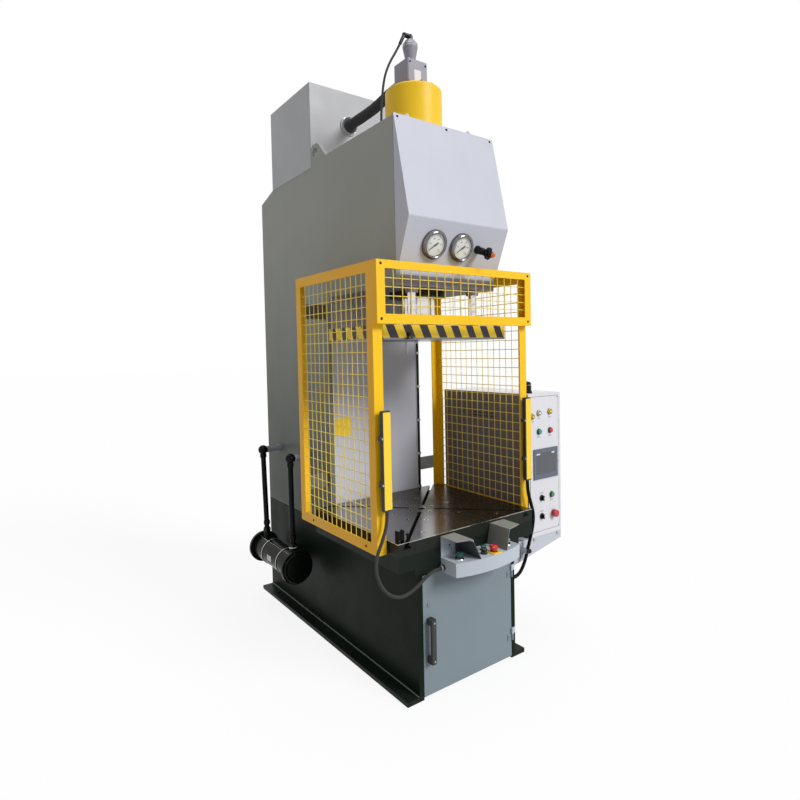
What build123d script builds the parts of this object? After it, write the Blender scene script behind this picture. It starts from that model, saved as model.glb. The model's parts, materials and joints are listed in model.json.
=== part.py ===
"""Hydraulic C-frame press with guard cage, two-hand console and side cabinet.

Every piece is built in millimetres in one frame. The origin lies on the floor
under the ram axis, +X is the operator's right, +Y runs to the back of the
machine and +Z is up.
"""

import math
import os

from build123d import *

os.makedirs("parts", exist_ok=True)

# Driving sizes of the welded frame
FRAME_HALF = 320.0
PLATE_T = 25.0
INNER_HALF = FRAME_HALF - PLATE_T
FRONT_Y = -372.0
THROAT_Y = 408.0
BACK_Y = 1295.0
BASE_T = 22.0
SHELF_TOP = 633.0
SHELF_T = 25.0
HEAD_BOTTOM = 1930.0
HEAD_FLOOR_T = 50.0
HEAD_TOP = 2715.0
HEAD_FRONT_Y = -252.0
DECK_T = 25.0
TANK_FRONT_Y = 563.0
TANK_BACK_Y = 1108.0
TANK_FLOOR = 2690.0
TANK_TOP = 3180.0
SUCTION_Z = TANK_FLOOR + (TANK_TOP - TANK_FLOOR) * 293.0 / 490.0
REAR_SHOULDER = 2635.0
EAR_TOP = 2812.0
EAR_HOLE_R = 27.0
FLANGE_W = 70.0
ANCHOR_R = 11.0
ANCHOR_X = 357.0
ANCHOR_FRONT_Y = -246.0
ANCHOR_BACK_Y = 1107.0

# Clearances between pieces that don't touch
SEAT = 0.3
RUN = 0.3

# Cylinder, ram and guides
CYL_R = 150.0
CYL_BORE_R = 120.0
CYL_BOTTOM = 1900.0
CYL_TOP = 2985.0
ROD_R = 90.0
GUIDE_R = 22.0
GUIDE_X = 200.0
GUIDE_Y = -212.0
GUIDE_TOP = 2480.0
SLIDE_HALF_X = 405.0
SLIDE_HALF_Y = 252.0
SLIDE_BOTTOM = 1675.0
SLIDE_T = 70.0
SLIDE_TOP = SLIDE_BOTTOM + SLIDE_T
TOOL_BOLT_R = 10.0
TOOL_BOLT_X = 400.0
TOOL_BOLT_Y = 250.0
SHANK_R = 25.0

# Table
TABLE_HALF = 441.0
TABLE_FRONT_Y = -392.0
TABLE_BACK_Y = 380.0
TABLE_TOP = 766.0
TABLE_T = 60.0
SLOT_W = 18.0
TEE_W = 30.0
TABLE_HOLE_R = 8.0

# Forked stop and tee pin on the table
FORK_X = -TABLE_HALF + 26.0
FORK_Y = -371.0
FORK_W = 37.0
FORK_DEPTH = 20.0
FORK_H = 54.0
POCKET = 3.0
PIN_X = -368.0
PIN_Y = -366.0
PIN_R = 5.0
SLOT_DEPTH = 31.0

# Guard cage
GUARD_X = 498.0
GUARD_ANGLE = 50.0
GUARD_T = 5.0
GUARD_FRONT_Y = -314.0
GUARD_BACK_Y = 438.0
GUARD_BOTTOM = 704.0
GUARD_TOP = 2024.0
VISOR_FRONT_Y = -352.0
VISOR_BOTTOM = 1743.0
WIRE = 4.0
SIDE_WIRES_UP = 13
SIDE_WIRES_ALONG = 23
VISOR_WIRES_UP = 17
VISOR_WIRES_ALONG = 4

# Light curtains
CURTAIN_X = 463.0
CURTAIN_W = 46.0
CURTAIN_DEPTH = 24.0
CURTAIN_FRONT_Y = -356.0
CURTAIN_BOTTOM = 912.0
CURTAIN_TOP = 1358.0
CURTAIN_PLUG = 7.0
CABLE_R = 8.0
CONDUIT_R = 9.5

# Two-hand console
CONSOLE_MID = 13.0
CONSOLE_HALF = 209.0
CONSOLE_SIDE_Y = -498.0
CONSOLE_NOSE_Y = -532.0
CONSOLE_BOTTOM = 588.0
CONSOLE_TOP = 654.0
CONSOLE_WALL = 4.0
SHROUD_TOP = 754.0
SHROUD_T = 3.0
SHROUD_FOOT = {-1: 78.0, 1: 93.0}
SHROUD_SHOULDER = {-1: 123.0, 1: 114.0}
PALM_X = 156.0
PALM_Y = -460.0
PALM_R = 20.0
STOP_R = 22.5
STEM_R = 11.0

# Control cabinet
CAB_X0 = 520.0
CAB_X1 = 792.0
CAB_Y0 = -302.0
CAB_Y1 = 398.0
CAB_Z0 = 565.0
CAB_Z1 = 1368.0
CAB_WALL = 3.0
CAB_DOOR_T = 4.0

# Pedestal door
DOOR_HALF = 292.0
DOOR_BOTTOM = 12.0
DOOR_TOP = 584.0
DOOR_DEPTH = 20.0
HINGE_X = 293.5
HINGE_Y = FRONT_Y - 6.0
HINGE_R = 5.5

# Oil cooler on the left side
COOLER_X = -450.0
COOLER_Z = 365.0
COOLER_Y0 = 598.0
COOLER_Y1 = 1128.0
COOLER_R = 76.0
COOLER_CAP_R = 98.0
PORT_FRONT_Y = 668.0
PORT_BACK_Y = 1052.0
PIPE_Z = 1000.0

# Hood profile in Y and Z, from the top round the nose to the lower lip
HOOD = [(-252.0, 2723.0), (-256.0, 2723.0), (-361.0, 2234.0), (-279.0, 2031.0), (-252.0, 2031.0)]
HOOD_T = 4.0
GAUGE_Z = 2124.0
GAUGE_XS = (-142.0, 30.0)
GAUGE_R = 71.0
GAUGE_STUB_R = 56.0
GAUGE_DIAL_R = 53.0
GAUGE_DIAL_H = 13.0
GAUGE_DEPTH = 23.0
RELIEF_X = 141.0
RELIEF_HEX_TOP = 68.0


def block(x0, x1, y0, y1, z0, z1, mode=Mode.ADD):
    """Adds or cuts a box given by its limits on each axis."""
    with Locations(((x0 + x1) / 2, (y0 + y1) / 2, (z0 + z1) / 2)):
        Box(x1 - x0, y1 - y0, z1 - z0, mode=mode)


def rod_z(x, y, z0, z1, r, mode=Mode.ADD):
    """Adds or cuts an upright round bar."""
    with Locations((x, y, (z0 + z1) / 2)):
        Cylinder(r, z1 - z0, mode=mode)


def rod_y(x, z, y0, y1, r, mode=Mode.ADD):
    """Adds or cuts a round bar along Y."""
    with Locations(Location((x, (y0 + y1) / 2, z), (90, 0, 0))):
        Cylinder(r, y1 - y0, mode=mode)


def rod_x(y, z, x0, x1, r, mode=Mode.ADD):
    """Adds or cuts a round bar along X."""
    with Locations(Location(((x0 + x1) / 2, y, z), (0, 90, 0))):
        Cylinder(r, x1 - x0, mode=mode)


def prism_x(points, x0, x1, mode=Mode.ADD):
    """Extrudes a Y, Z outline along X."""
    with BuildSketch(Plane.YZ.offset(x0)) as face:
        Polygon(*points, align=None)
    extrude(face.sketch, amount=x1 - x0, mode=mode)


def prism_y(points, y0, y1, mode=Mode.ADD):
    """Extrudes an X, Z outline along Y, from y0 towards y1."""
    with BuildSketch(Plane.XZ.offset(-y0)) as face:
        Polygon(*points, align=None)
    extrude(face.sketch, amount=-(y1 - y0), mode=mode)


def save(part, label):
    """Labels a finished piece and writes its STEP file."""
    part.label = label
    export_step(part, f"parts/{label}.step")


def fillet_radii(points):
    """Returns one tangent-arc radius for each inner corner of a cord."""
    radii = []
    for a, b, c in zip(points, points[1:], points[2:]):
        u = Vector(*b) - Vector(*a)
        v = Vector(*c) - Vector(*b)
        turn = math.radians(u.get_angle(v))
        radii.append(0.45 * min(u.length, v.length) / math.tan(turn / 2))
    return radii


def cord(points, r, label):
    """Builds a cord of straight runs joined by tangent arcs and checks its volume."""
    radii = fillet_radii(points)
    print(label, "radii", [round(v, 1) for v in radii])
    with BuildPart() as tube:
        with BuildLine() as path:
            FilletPolyline(*points, radius=radii)
        start = Vector(*points[0])
        ahead = Vector(*points[1]) - start
        with BuildSketch(Plane(origin=start, z_dir=ahead)):
            Circle(r)
        sweep(path=path.wires()[0])
    want = math.pi * r * r * path.wires()[0].length
    print(label, "volume ratio", round(tube.part.volume / want, 4), "length", round(path.wires()[0].length))
    return tube.part


# Welded frame: the two C-shaped side plates
with BuildPart() as frame_sides:
    outline = [
        (FRONT_Y, BASE_T),
        (FRONT_Y, SHELF_TOP),
        (THROAT_Y, SHELF_TOP),
        (THROAT_Y, HEAD_BOTTOM),
        (HEAD_FRONT_Y, HEAD_BOTTOM),
        (HEAD_FRONT_Y, HEAD_TOP),
        (391.0, HEAD_TOP),
        (468.0, 2796.0),
        (494.0, EAR_TOP),
        (540.0, EAR_TOP),
        (TANK_FRONT_Y - SEAT, 2798.0),
        (TANK_FRONT_Y - SEAT, TANK_FLOOR),
        (TANK_BACK_Y, TANK_FLOOR),
        (BACK_Y, REAR_SHOULDER),
        (BACK_Y, BASE_T),
    ]
    for side in (-1, 1):
        x0 = -FRAME_HALF if side < 0 else INNER_HALF
        prism_x(outline, x0, x0 + PLATE_T)
        rod_x(513.0, 2764.0, x0 - 1, x0 + PLATE_T + 1, EAR_HOLE_R, mode=Mode.SUBTRACT)
    throat_corners = frame_sides.edges().filter_by(Axis.X)
    throat_corners = [e for e in throat_corners if abs(e.center().Y - THROAT_Y) < 1 and e.center().Z > 1900]
    fillet(throat_corners, radius=60)
save(frame_sides.part, "frame_sides")

# Welded frame: the plates between the sides, each a solid of its own
with BuildPart() as frame_webs:
    block(-INNER_HALF, INNER_HALF, THROAT_Y, THROAT_Y + 25, SHELF_TOP + 1, HEAD_BOTTOM)
    block(-INNER_HALF, INNER_HALF, BACK_Y - 25, BACK_Y, BASE_T, REAR_SHOULDER - 28)
    block(-INNER_HALF, INNER_HALF, FRONT_Y, BACK_Y - 26, SHELF_TOP - SHELF_T, SHELF_TOP)
    head_z0 = HEAD_BOTTOM + HEAD_FLOOR_T + 1
    block(-INNER_HALF, INNER_HALF, HEAD_FRONT_Y, HEAD_FRONT_Y + 12, head_z0, HEAD_TOP - DECK_T - 1)
    block(-INNER_HALF, INNER_HALF, HEAD_FRONT_Y, TANK_FRONT_Y - 2, HEAD_TOP - DECK_T, HEAD_TOP)
    rod_z(0, 0, HEAD_TOP - DECK_T - 1, HEAD_TOP + 1, CYL_R + SEAT, mode=Mode.SUBTRACT)
    prism_x(
        [
            (TANK_FRONT_Y + 1, TANK_FLOOR),
            (TANK_BACK_Y, TANK_FLOOR),
            (BACK_Y, REAR_SHOULDER),
            (BACK_Y, REAR_SHOULDER - 26),
            (TANK_BACK_Y, TANK_FLOOR - 26),
            (TANK_FRONT_Y + 1, TANK_FLOOR - 26),
        ],
        -INNER_HALF,
        INNER_HALF,
    )
save(frame_webs.part, "frame_webs")

# Head floor: the thick plate that carries the cylinder and the guide bushes
with BuildPart() as head_floor:
    block(-INNER_HALF, INNER_HALF, HEAD_FRONT_Y, THROAT_Y + 25, HEAD_BOTTOM, HEAD_BOTTOM + HEAD_FLOOR_T)
    for x in (-GUIDE_X, GUIDE_X):
        rod_z(x, GUIDE_Y, HEAD_BOTTOM - 26, HEAD_BOTTOM, GUIDE_R + 10)
        bush = (HEAD_BOTTOM - 27, HEAD_BOTTOM + HEAD_FLOOR_T + 1)
        rod_z(x, GUIDE_Y, *bush, GUIDE_R + RUN, mode=Mode.SUBTRACT)
    rod_z(0, 0, HEAD_BOTTOM - 1, HEAD_BOTTOM + HEAD_FLOOR_T + 1, CYL_R + SEAT, mode=Mode.SUBTRACT)
save(head_floor.part, "head_floor")

# Base plate with side flanges and four anchor holes
with BuildPart() as base_plate:
    block(-FRAME_HALF - FLANGE_W, FRAME_HALF + FLANGE_W, FRONT_Y, BACK_Y, 0, BASE_T)
    block(-DOOR_HALF - 1, DOOR_HALF + 1, FRONT_Y - 1, FRONT_Y + 32, -1, BASE_T + 1, mode=Mode.SUBTRACT)
    with Locations(
        (-ANCHOR_X, ANCHOR_FRONT_Y, BASE_T / 2),
        (ANCHOR_X, ANCHOR_FRONT_Y, BASE_T / 2),
        (-ANCHOR_X, ANCHOR_BACK_Y, BASE_T / 2),
        (ANCHOR_X, ANCHOR_BACK_Y, BASE_T / 2),
    ):
        Cylinder(ANCHOR_R, BASE_T + 2, mode=Mode.SUBTRACT)
save(base_plate.part, "base_plate")

# Hood: folded sheet over the front of the head, open at the back
hood_slope = math.atan2(HOOD[3][0] - HOOD[2][0], HOOD[2][1] - HOOD[3][1])
face_y = HOOD[2][0] + (HOOD[2][1] - GAUGE_Z) * math.tan(hood_slope)
face_out = Vector(0, -math.cos(hood_slope), -math.sin(hood_slope))
with BuildPart() as hood:
    prism_x(HOOD, -FRAME_HALF, FRAME_HALF)
    inner = [(-200.0, 2719.0), (-252.8, 2719.0), (-356.8, 2234.6), (-276.3, 2035.0), (-200.0, 2035.0)]
    prism_x(inner, -FRAME_HALF + HOOD_T, FRAME_HALF - HOOD_T, mode=Mode.SUBTRACT)
    for x in GAUGE_XS:
        with BuildSketch(Plane(origin=Vector(x, face_y, GAUGE_Z), z_dir=face_out)):
            Circle(GAUGE_STUB_R + SEAT)
        extrude(amount=10, both=True, mode=Mode.SUBTRACT)
    hood_bends = hood.edges().filter_by(Axis.X).filter_by(lambda e: e.center().Y < -355 and e.length > 2 * FRAME_HALF - 1)
    fillet(hood_bends, radius=14)
save(hood.part, "hood")

# Round-head screws of the hood and of the guard, all the same size
with BuildPart() as panel_screws:
    skin = Vector(0, HOOD[1][0] - HOOD[2][0], HOOD[1][1] - HOOD[2][1]).normalized()
    out = Vector(0, -skin.Z, skin.Y)
    for x in (-300.0, 0.0, 298.0):
        foot = Vector(x, HOOD[1][0], HOOD[1][1]) - skin * 16
        with BuildSketch(Plane(origin=foot, z_dir=out)):
            Circle(6.5)
        extrude(amount=4)
    for x in (-474.0, 474.0):
        for z in (1765.0, 2007.0):
            rod_y(x, z, VISOR_FRONT_Y - 4, VISOR_FRONT_Y, 6.5)
    for side in (-1, 1):
        for y in (-220.0, 297.0):
            x0 = -GUARD_X - 4 if side < 0 else GUARD_X
            rod_x(y, 729.0, x0, x0 + 4, 6.5)
save(panel_screws.part, "panel_screws")

# Oil tank on top of the column, with the suction flange on its front
with BuildPart() as oil_tank:
    block(-FRAME_HALF, FRAME_HALF, TANK_FRONT_Y, TANK_BACK_Y, TANK_FLOOR, TANK_TOP)
    tank_hollow = (TANK_FRONT_Y + 6, TANK_BACK_Y - 6, TANK_FLOOR + 6, TANK_TOP - 6)
    block(-FRAME_HALF + 6, FRAME_HALF - 6, *tank_hollow, mode=Mode.SUBTRACT)
    rod_y(-60, SUCTION_Z, TANK_FRONT_Y - 8, TANK_FRONT_Y, 57)
    rod_y(-60, SUCTION_Z, TANK_FRONT_Y - 18, TANK_FRONT_Y - 8, 48)
save(oil_tank.part, "oil_tank")

# Filler breather and the lid plate it stands on
with BuildPart() as tank_breather:
    block(-200, 200, 660, 1010, TANK_TOP, TANK_TOP + 8)
    rod_z(120, 900, TANK_TOP + 8, TANK_TOP + 20, 26)
    rod_z(120, 900, TANK_TOP + 20, TANK_TOP + 60, 36)
    fillet(tank_breather.faces().sort_by(Axis.Z)[-1].edges(), radius=6)
save(tank_breather.part, "tank_breather")

# Suction hose from the tank to the prefill valve
suction_points = [
    (-60.0, 545.0, SUCTION_Z),
    (-60.0, 440.0, SUCTION_Z),
    (-30.0, 312.0, 3010.0),
    (-5.0, 185.0, 3060.0),
    (-5.0, 82.0, 3060.0),
]
save(cord(suction_points, 30.0, "suction_hose"), "suction_hose")

# Main cylinder, hollow, with its flange on the head floor
with BuildPart() as main_cylinder:
    rod_z(0, 0, CYL_BOTTOM, CYL_TOP, CYL_R)
    rod_z(0, 0, HEAD_BOTTOM + HEAD_FLOOR_T, HEAD_BOTTOM + HEAD_FLOOR_T + 35, 195)
    rod_z(0, 0, CYL_BOTTOM - 1, CYL_BOTTOM + 61, ROD_R + RUN, mode=Mode.SUBTRACT)
    rod_z(0, 0, CYL_BOTTOM + 60, CYL_TOP - 45, CYL_BORE_R, mode=Mode.SUBTRACT)
    fillet(main_cylinder.faces().sort_by(Axis.Z)[-1].edges(), radius=14)
save(main_cylinder.part, "main_cylinder")

# Prefill valve block with its flared neck
with BuildPart() as prefill_valve:
    block(-65, 65, -42, 82, CYL_TOP, 3136)
    with BuildSketch(Plane.XZ.offset(-20)):
        neck = [(0, 3130), (30, 3130), (30, 3142), (24, 3146), (40, 3222), (40, 3242), (26, 3262), (0, 3262)]
        Polygon(*neck, align=None)
    revolve(axis=Axis((0, 20, 0), (0, 0, 1)))
    upright = prefill_valve.edges().filter_by(Axis.Z)
    chamfer(upright.filter_by(lambda e: e.length > 100 and abs(e.center().X) > 60), length=5)
save(prefill_valve.part, "prefill_valve")

# Pilot elbow on the neck
with BuildPart() as pilot_elbow:
    rod_z(0, 20, 3262, 3284, 15)
    with Locations((0, 20, 3284)):
        Sphere(15)
    rod_x(20, 3284, -38, 0, 12)
    with Locations((-38, 20, 3284)):
        Sphere(12)
    nozzle = Vector(-32, -2, -60).normalized()
    with BuildSketch(Plane(origin=Vector(-38, 20, 3284), z_dir=nozzle)):
        Circle(9)
    extrude(amount=38)
save(pilot_elbow.part, "pilot_elbow")

# Pilot hose from the elbow down to the head deck
pilot_start = Vector(-38, 20, 3284) + Vector(-32, -2, -60).normalized() * 38
pilot_points = [
    (pilot_start.X, pilot_start.Y, pilot_start.Z),
    (pilot_start.X - 32.0, pilot_start.Y - 2.0, pilot_start.Z - 60.0),
    (-140.0, 12.0, 3112.0),
    (-179.0, 5.0, 3030.0),
    (-199.0, 1.0, 2935.0),
    (-212.0, -3.0, 2822.0),
    (-212.0, -3.0, HEAD_TOP),
]
save(cord(pilot_points, 6.0, "pilot_hose"), "pilot_hose")


def on_face(x, height):
    """Returns a plane square to the lower hood face, a height above it."""
    return Plane(origin=Vector(x, face_y, GAUGE_Z) + face_out * height, x_dir=(1, 0, 0), z_dir=face_out)


# Pressure gauges: stub, rolled rim and dial floor in one, turned about the gauge axis
with BuildPart() as gauges:
    for x in GAUGE_XS:
        axle = on_face(x, 0)
        with BuildSketch(Plane(origin=axle.origin, x_dir=axle.x_dir, z_dir=-axle.y_dir)) as half:
            stub = [(0, GAUGE_DIAL_H), (0, -20), (GAUGE_STUB_R, -20), (GAUGE_STUB_R, SEAT)]
            shoulder = [(GAUGE_R, SEAT), (GAUGE_R, 7)]
            crest = (GAUGE_R - 11, GAUGE_DEPTH)
            wall = (GAUGE_DIAL_R + 2, GAUGE_DEPTH - 3)
            dial = [crest, wall, (GAUGE_DIAL_R, GAUGE_DIAL_H), (0, GAUGE_DIAL_H)]
            with BuildLine():
                Polyline(*stub, *shoulder)
                ThreePointArc(shoulder[1], (GAUGE_R - 3.5, GAUGE_DEPTH - 6), crest)
                Polyline(*dial)
            make_face()
        revolve(half.sketch, axis=Axis(axle.origin, axle.z_dir))
save(gauges.part, "gauges")

# Gauge needles, both resting at zero
NEEDLE_REST = 218.0
NEEDLE_TIP = 41.0
NEEDLE_TAIL = 18.0
for label, x in (("needle_left", GAUGE_XS[0]), ("needle_right", GAUGE_XS[1])):
    with BuildPart() as needle:
        with BuildSketch(on_face(x, GAUGE_DIAL_H + SEAT)):
            Circle(5)
        extrude(amount=4)
        with BuildSketch(on_face(x, GAUGE_DIAL_H + 2)):
            with Locations(Location((0, 0), NEEDLE_REST)):
                Polygon(
                    (-NEEDLE_TAIL, -4),
                    (-NEEDLE_TAIL, 4),
                    (0, 2.6),
                    (NEEDLE_TIP, 0.9),
                    (NEEDLE_TIP, -0.9),
                    (0, -2.6),
                    align=None,
                )
        extrude(amount=1.4)
    save(needle.part, label)

# Pressure relief valve, square to the lower hood face: flange, hexagon and neck
with BuildPart() as relief_valve:
    with BuildSketch(on_face(RELIEF_X, 0)):
        Circle(21)
    extrude(amount=8)
    with BuildSketch(on_face(RELIEF_X, 8)):
        RegularPolygon(20, 6)
    extrude(amount=RELIEF_HEX_TOP - 8)
    with BuildSketch(on_face(RELIEF_X, RELIEF_HEX_TOP)):
        Circle(8)
    extrude(amount=34)
save(relief_valve.part, "relief_valve")

# Its knob: an oval wing and a tapered grip on the neck
with BuildPart() as relief_knob:
    with BuildSketch(on_face(RELIEF_X, RELIEF_HEX_TOP + 10)):
        SlotOverall(60, 32, rotation=90)
    extrude(amount=12)
    with BuildSketch(on_face(RELIEF_X, RELIEF_HEX_TOP + 22)):
        Circle(15)
    extrude(amount=30, taper=8)
    with BuildSketch(on_face(RELIEF_X, RELIEF_HEX_TOP + 9)):
        Circle(8 + RUN)
    extrude(amount=26, mode=Mode.SUBTRACT)
save(relief_knob.part, "relief_knob")

# Piston and rod, one forging
with BuildPart() as piston_rod:
    rod_z(0, 0, SLIDE_TOP, 2870, ROD_R)
    rod_z(0, 0, SLIDE_TOP, SLIDE_TOP + 32, ROD_R + 38)
    rod_z(0, 0, 2858, 2918, CYL_BORE_R - RUN)
save(piston_rod.part, "piston_rod")

# Slide plate with tool bolt holes and a shank hole in its face
with BuildPart() as slide_plate:
    block(-SLIDE_HALF_X, SLIDE_HALF_X, -SLIDE_HALF_Y, SLIDE_HALF_Y, SLIDE_BOTTOM, SLIDE_TOP)
    chamfer(slide_plate.edges().filter_by(Axis.Z), length=6)
    for x in (-TOOL_BOLT_X / 2, TOOL_BOLT_X / 2):
        for y in (-TOOL_BOLT_Y / 2, TOOL_BOLT_Y / 2):
            rod_z(x, y, SLIDE_BOTTOM - 1, SLIDE_BOTTOM + 40, TOOL_BOLT_R, mode=Mode.SUBTRACT)
    rod_z(0, 0, SLIDE_BOTTOM - 1, SLIDE_BOTTOM + 50, SHANK_R, mode=Mode.SUBTRACT)
save(slide_plate.part, "slide_plate")

# Guide rods that stop the slide from turning
with BuildPart() as guide_rods:
    for x in (-GUIDE_X, GUIDE_X):
        rod_z(x, GUIDE_Y, SLIDE_TOP, GUIDE_TOP, GUIDE_R)
    chamfer(guide_rods.faces().group_by(Axis.Z)[-1].edges(), length=3)
save(guide_rods.part, "guide_rods")

# Position sensor on the front of the slide
with BuildPart() as slide_sensor:
    block(-268, -232, -SLIDE_HALF_Y - 22, -SLIDE_HALF_Y, 1687, 1738)
    rod_y(-244, 1702, -SLIDE_HALF_Y - 28, -SLIDE_HALF_Y - 22, 8)
save(slide_sensor.part, "slide_sensor")

# Bolster plate: four diagonal T-slots that stop short of the middle, and a field of holes
with BuildPart() as bolster:
    block(-TABLE_HALF, TABLE_HALF, TABLE_FRONT_Y, TABLE_BACK_Y, TABLE_TOP - TABLE_T, TABLE_TOP)
    for angle in (45, 135, 225, 315):
        turn = math.radians(angle)
        reach = Vector(math.cos(turn), math.sin(turn), 0)
        lips = (SLOT_W, TABLE_TOP + 1, SLOT_DEPTH + 1)
        tee = (TEE_W, TABLE_TOP - 18, SLOT_DEPTH - 18)
        for width, top, depth in (lips, tee):
            middle = reach * (68 + 300)
            with Locations(Location((middle.X, middle.Y, top - depth / 2), (0, 0, angle))):
                Box(600, width, depth, mode=Mode.SUBTRACT)
    side_holes = [(180, 0), (180, 110), (180, -110)]
    holes = []
    for hx, hy in side_holes:
        for a in range(4):
            t = math.radians(90 * a)
            holes.append((hx * math.cos(t) - hy * math.sin(t), hx * math.sin(t) + hy * math.cos(t)))
    holes += [(0, 74), (0, -74), (74, 0), (-74, 0), (243, -324), (-243, -324), (243, 324), (-243, 324)]
    for hx, hy in holes:
        rod_z(hx, hy, TABLE_TOP - 36, TABLE_TOP + 1, TABLE_HOLE_R, mode=Mode.SUBTRACT)
    rod_z(0, 0, TABLE_TOP - TABLE_T - 1, TABLE_TOP + 1, 20, mode=Mode.SUBTRACT)
    block(
        FORK_X - FORK_W / 2 - SEAT,
        FORK_X + FORK_W / 2 + SEAT,
        FORK_Y - FORK_DEPTH / 2 - SEAT,
        FORK_Y + FORK_DEPTH / 2 + SEAT,
        TABLE_TOP - POCKET,
        TABLE_TOP + 1,
        mode=Mode.SUBTRACT,
    )
save(bolster.part, "bolster")

# Table box under the bolster: a ring of plates with two ribs over the frame sides
with BuildPart() as bolster_box:
    z1 = TABLE_TOP - TABLE_T
    block(-TABLE_HALF, TABLE_HALF, TABLE_FRONT_Y, TABLE_BACK_Y, SHELF_TOP, z1)
    box_hollow = (TABLE_FRONT_Y + 20, TABLE_BACK_Y - 20, SHELF_TOP - 1, z1 + 1)
    block(-TABLE_HALF + 20, TABLE_HALF - 20, *box_hollow, mode=Mode.SUBTRACT)
    for x in (-FRAME_HALF, INNER_HALF):
        block(x, x + PLATE_T, TABLE_FRONT_Y + 10, TABLE_BACK_Y - 10, SHELF_TOP, z1)
    block(-335, 335, TABLE_FRONT_Y, FRONT_Y, 600, SHELF_TOP + 1)
save(bolster_box.part, "bolster_box")

# Small forked stop in its pocket and a tee pin in the slot beside it, on the table's front left corner
with BuildPart() as fork_block:
    top = TABLE_TOP + FORK_H
    half = FORK_W / 2
    prism_y(
        [
            (FORK_X - half, TABLE_TOP - POCKET),
            (FORK_X - half, top),
            (FORK_X - half + 7, top),
            (FORK_X, top - 16),
            (FORK_X + half - 7, top),
            (FORK_X + half, top),
            (FORK_X + half, TABLE_TOP - POCKET),
            (FORK_X + half - 8, TABLE_TOP - POCKET),
            (FORK_X + half - 8, TABLE_TOP + 12),
            (FORK_X - half + 8, TABLE_TOP + 12),
            (FORK_X - half + 8, TABLE_TOP - POCKET),
        ],
        FORK_Y - FORK_DEPTH / 2,
        FORK_Y + FORK_DEPTH / 2,
    )
    rod_z(PIN_X, PIN_Y, TABLE_TOP - SLOT_DEPTH, TABLE_TOP - SLOT_DEPTH + 8, PIN_R + 7)
    rod_z(PIN_X, PIN_Y, TABLE_TOP - SLOT_DEPTH + 8, TABLE_TOP + 24, PIN_R)
    rod_z(PIN_X, PIN_Y, TABLE_TOP + 24, TABLE_TOP + 29, PIN_R + 4)
save(fork_block.part, "fork_block")


def guard_tray(side):
    """Builds one side frame of the guard: four angle bars round a window."""
    with BuildPart() as tray:
        xa, xb = sorted((side * GUARD_X, side * (GUARD_X - GUARD_ANGLE)))
        block(xa, xb, GUARD_FRONT_Y, GUARD_BACK_Y, GUARD_BOTTOM, GUARD_TOP)
        xc, xd = sorted((side * (GUARD_X - GUARD_T), side * (GUARD_X - GUARD_ANGLE - 1)))
        tray_ends = (GUARD_FRONT_Y + GUARD_T, GUARD_BACK_Y - GUARD_T)
        block(xc, xd, *tray_ends, GUARD_BOTTOM + GUARD_T, GUARD_TOP - GUARD_T, mode=Mode.SUBTRACT)
        xe, xf = sorted((side * (GUARD_X + 1), side * (GUARD_X - GUARD_T - 1)))
        window_ends = (GUARD_FRONT_Y + GUARD_ANGLE, GUARD_BACK_Y - GUARD_ANGLE)
        block(xe, xf, *window_ends, GUARD_BOTTOM + GUARD_ANGLE, GUARD_TOP - GUARD_ANGLE, mode=Mode.SUBTRACT)
    return tray.part


def guard_mesh(side):
    """Builds the welded wires of one side: uprights and crossings, a layer apart."""
    with BuildPart() as mesh:
        x1 = GUARD_X - GUARD_T - SEAT
        x2 = x1 - WIRE - SEAT
        xa, xb = sorted((side * x1, side * (x1 - WIRE)))
        span = (GUARD_BACK_Y - 50) - (GUARD_FRONT_Y + 50)
        for k in range(SIDE_WIRES_UP):
            y = GUARD_FRONT_Y + 50 + span * (k + 1) / (SIDE_WIRES_UP + 1)
            block(xa, xb, y - WIRE / 2, y + WIRE / 2, GUARD_BOTTOM + 30, GUARD_TOP - 30)
        xa, xb = sorted((side * x2, side * (x2 - WIRE)))
        rise = (GUARD_TOP - 50) - (GUARD_BOTTOM + 50)
        for k in range(SIDE_WIRES_ALONG):
            z = GUARD_BOTTOM + 50 + rise * (k + 1) / (SIDE_WIRES_ALONG + 1)
            block(xa, xb, GUARD_FRONT_Y + 30, GUARD_BACK_Y - 30, z - WIRE / 2, z + WIRE / 2)
    return mesh.part


save(guard_tray(-1), "guard_left")
save(guard_tray(1), "guard_right")
save(guard_mesh(-1), "mesh_left")
save(guard_mesh(1), "mesh_right")

# Front visor of the guard, an angle frame between the two sides
with BuildPart() as guard_front:
    block(-GUARD_X, GUARD_X, VISOR_FRONT_Y, GUARD_FRONT_Y, VISOR_BOTTOM, GUARD_TOP)
    visor_hollow = (VISOR_FRONT_Y + GUARD_T, GUARD_FRONT_Y + 1, VISOR_BOTTOM + GUARD_T, GUARD_TOP - GUARD_T)
    block(-GUARD_X + GUARD_T, GUARD_X - GUARD_T, *visor_hollow, mode=Mode.SUBTRACT)
    visor_window = (VISOR_FRONT_Y - 1, VISOR_FRONT_Y + GUARD_T + 1, VISOR_BOTTOM + 44, GUARD_TOP - 37)
    block(-453, 453, *visor_window, mode=Mode.SUBTRACT)
save(guard_front.part, "guard_front")
with BuildPart() as mesh_front:
    y1 = VISOR_FRONT_Y + GUARD_T + SEAT
    y2 = y1 + WIRE + SEAT
    for k in range(VISOR_WIRES_UP):
        x = -453 + 906 * (k + 1) / (VISOR_WIRES_UP + 1)
        block(x - WIRE / 2, x + WIRE / 2, y1, y1 + WIRE, VISOR_BOTTOM + 28, GUARD_TOP - 24)
    for k in range(VISOR_WIRES_ALONG):
        z = VISOR_BOTTOM + 44 + (GUARD_TOP - 37 - VISOR_BOTTOM - 44) * (k + 1) / (VISOR_WIRES_ALONG + 1)
        block(-470, 470, y2, y2 + WIRE, z - WIRE / 2, z + WIRE / 2)
save(mesh_front.part, "mesh_front")

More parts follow.
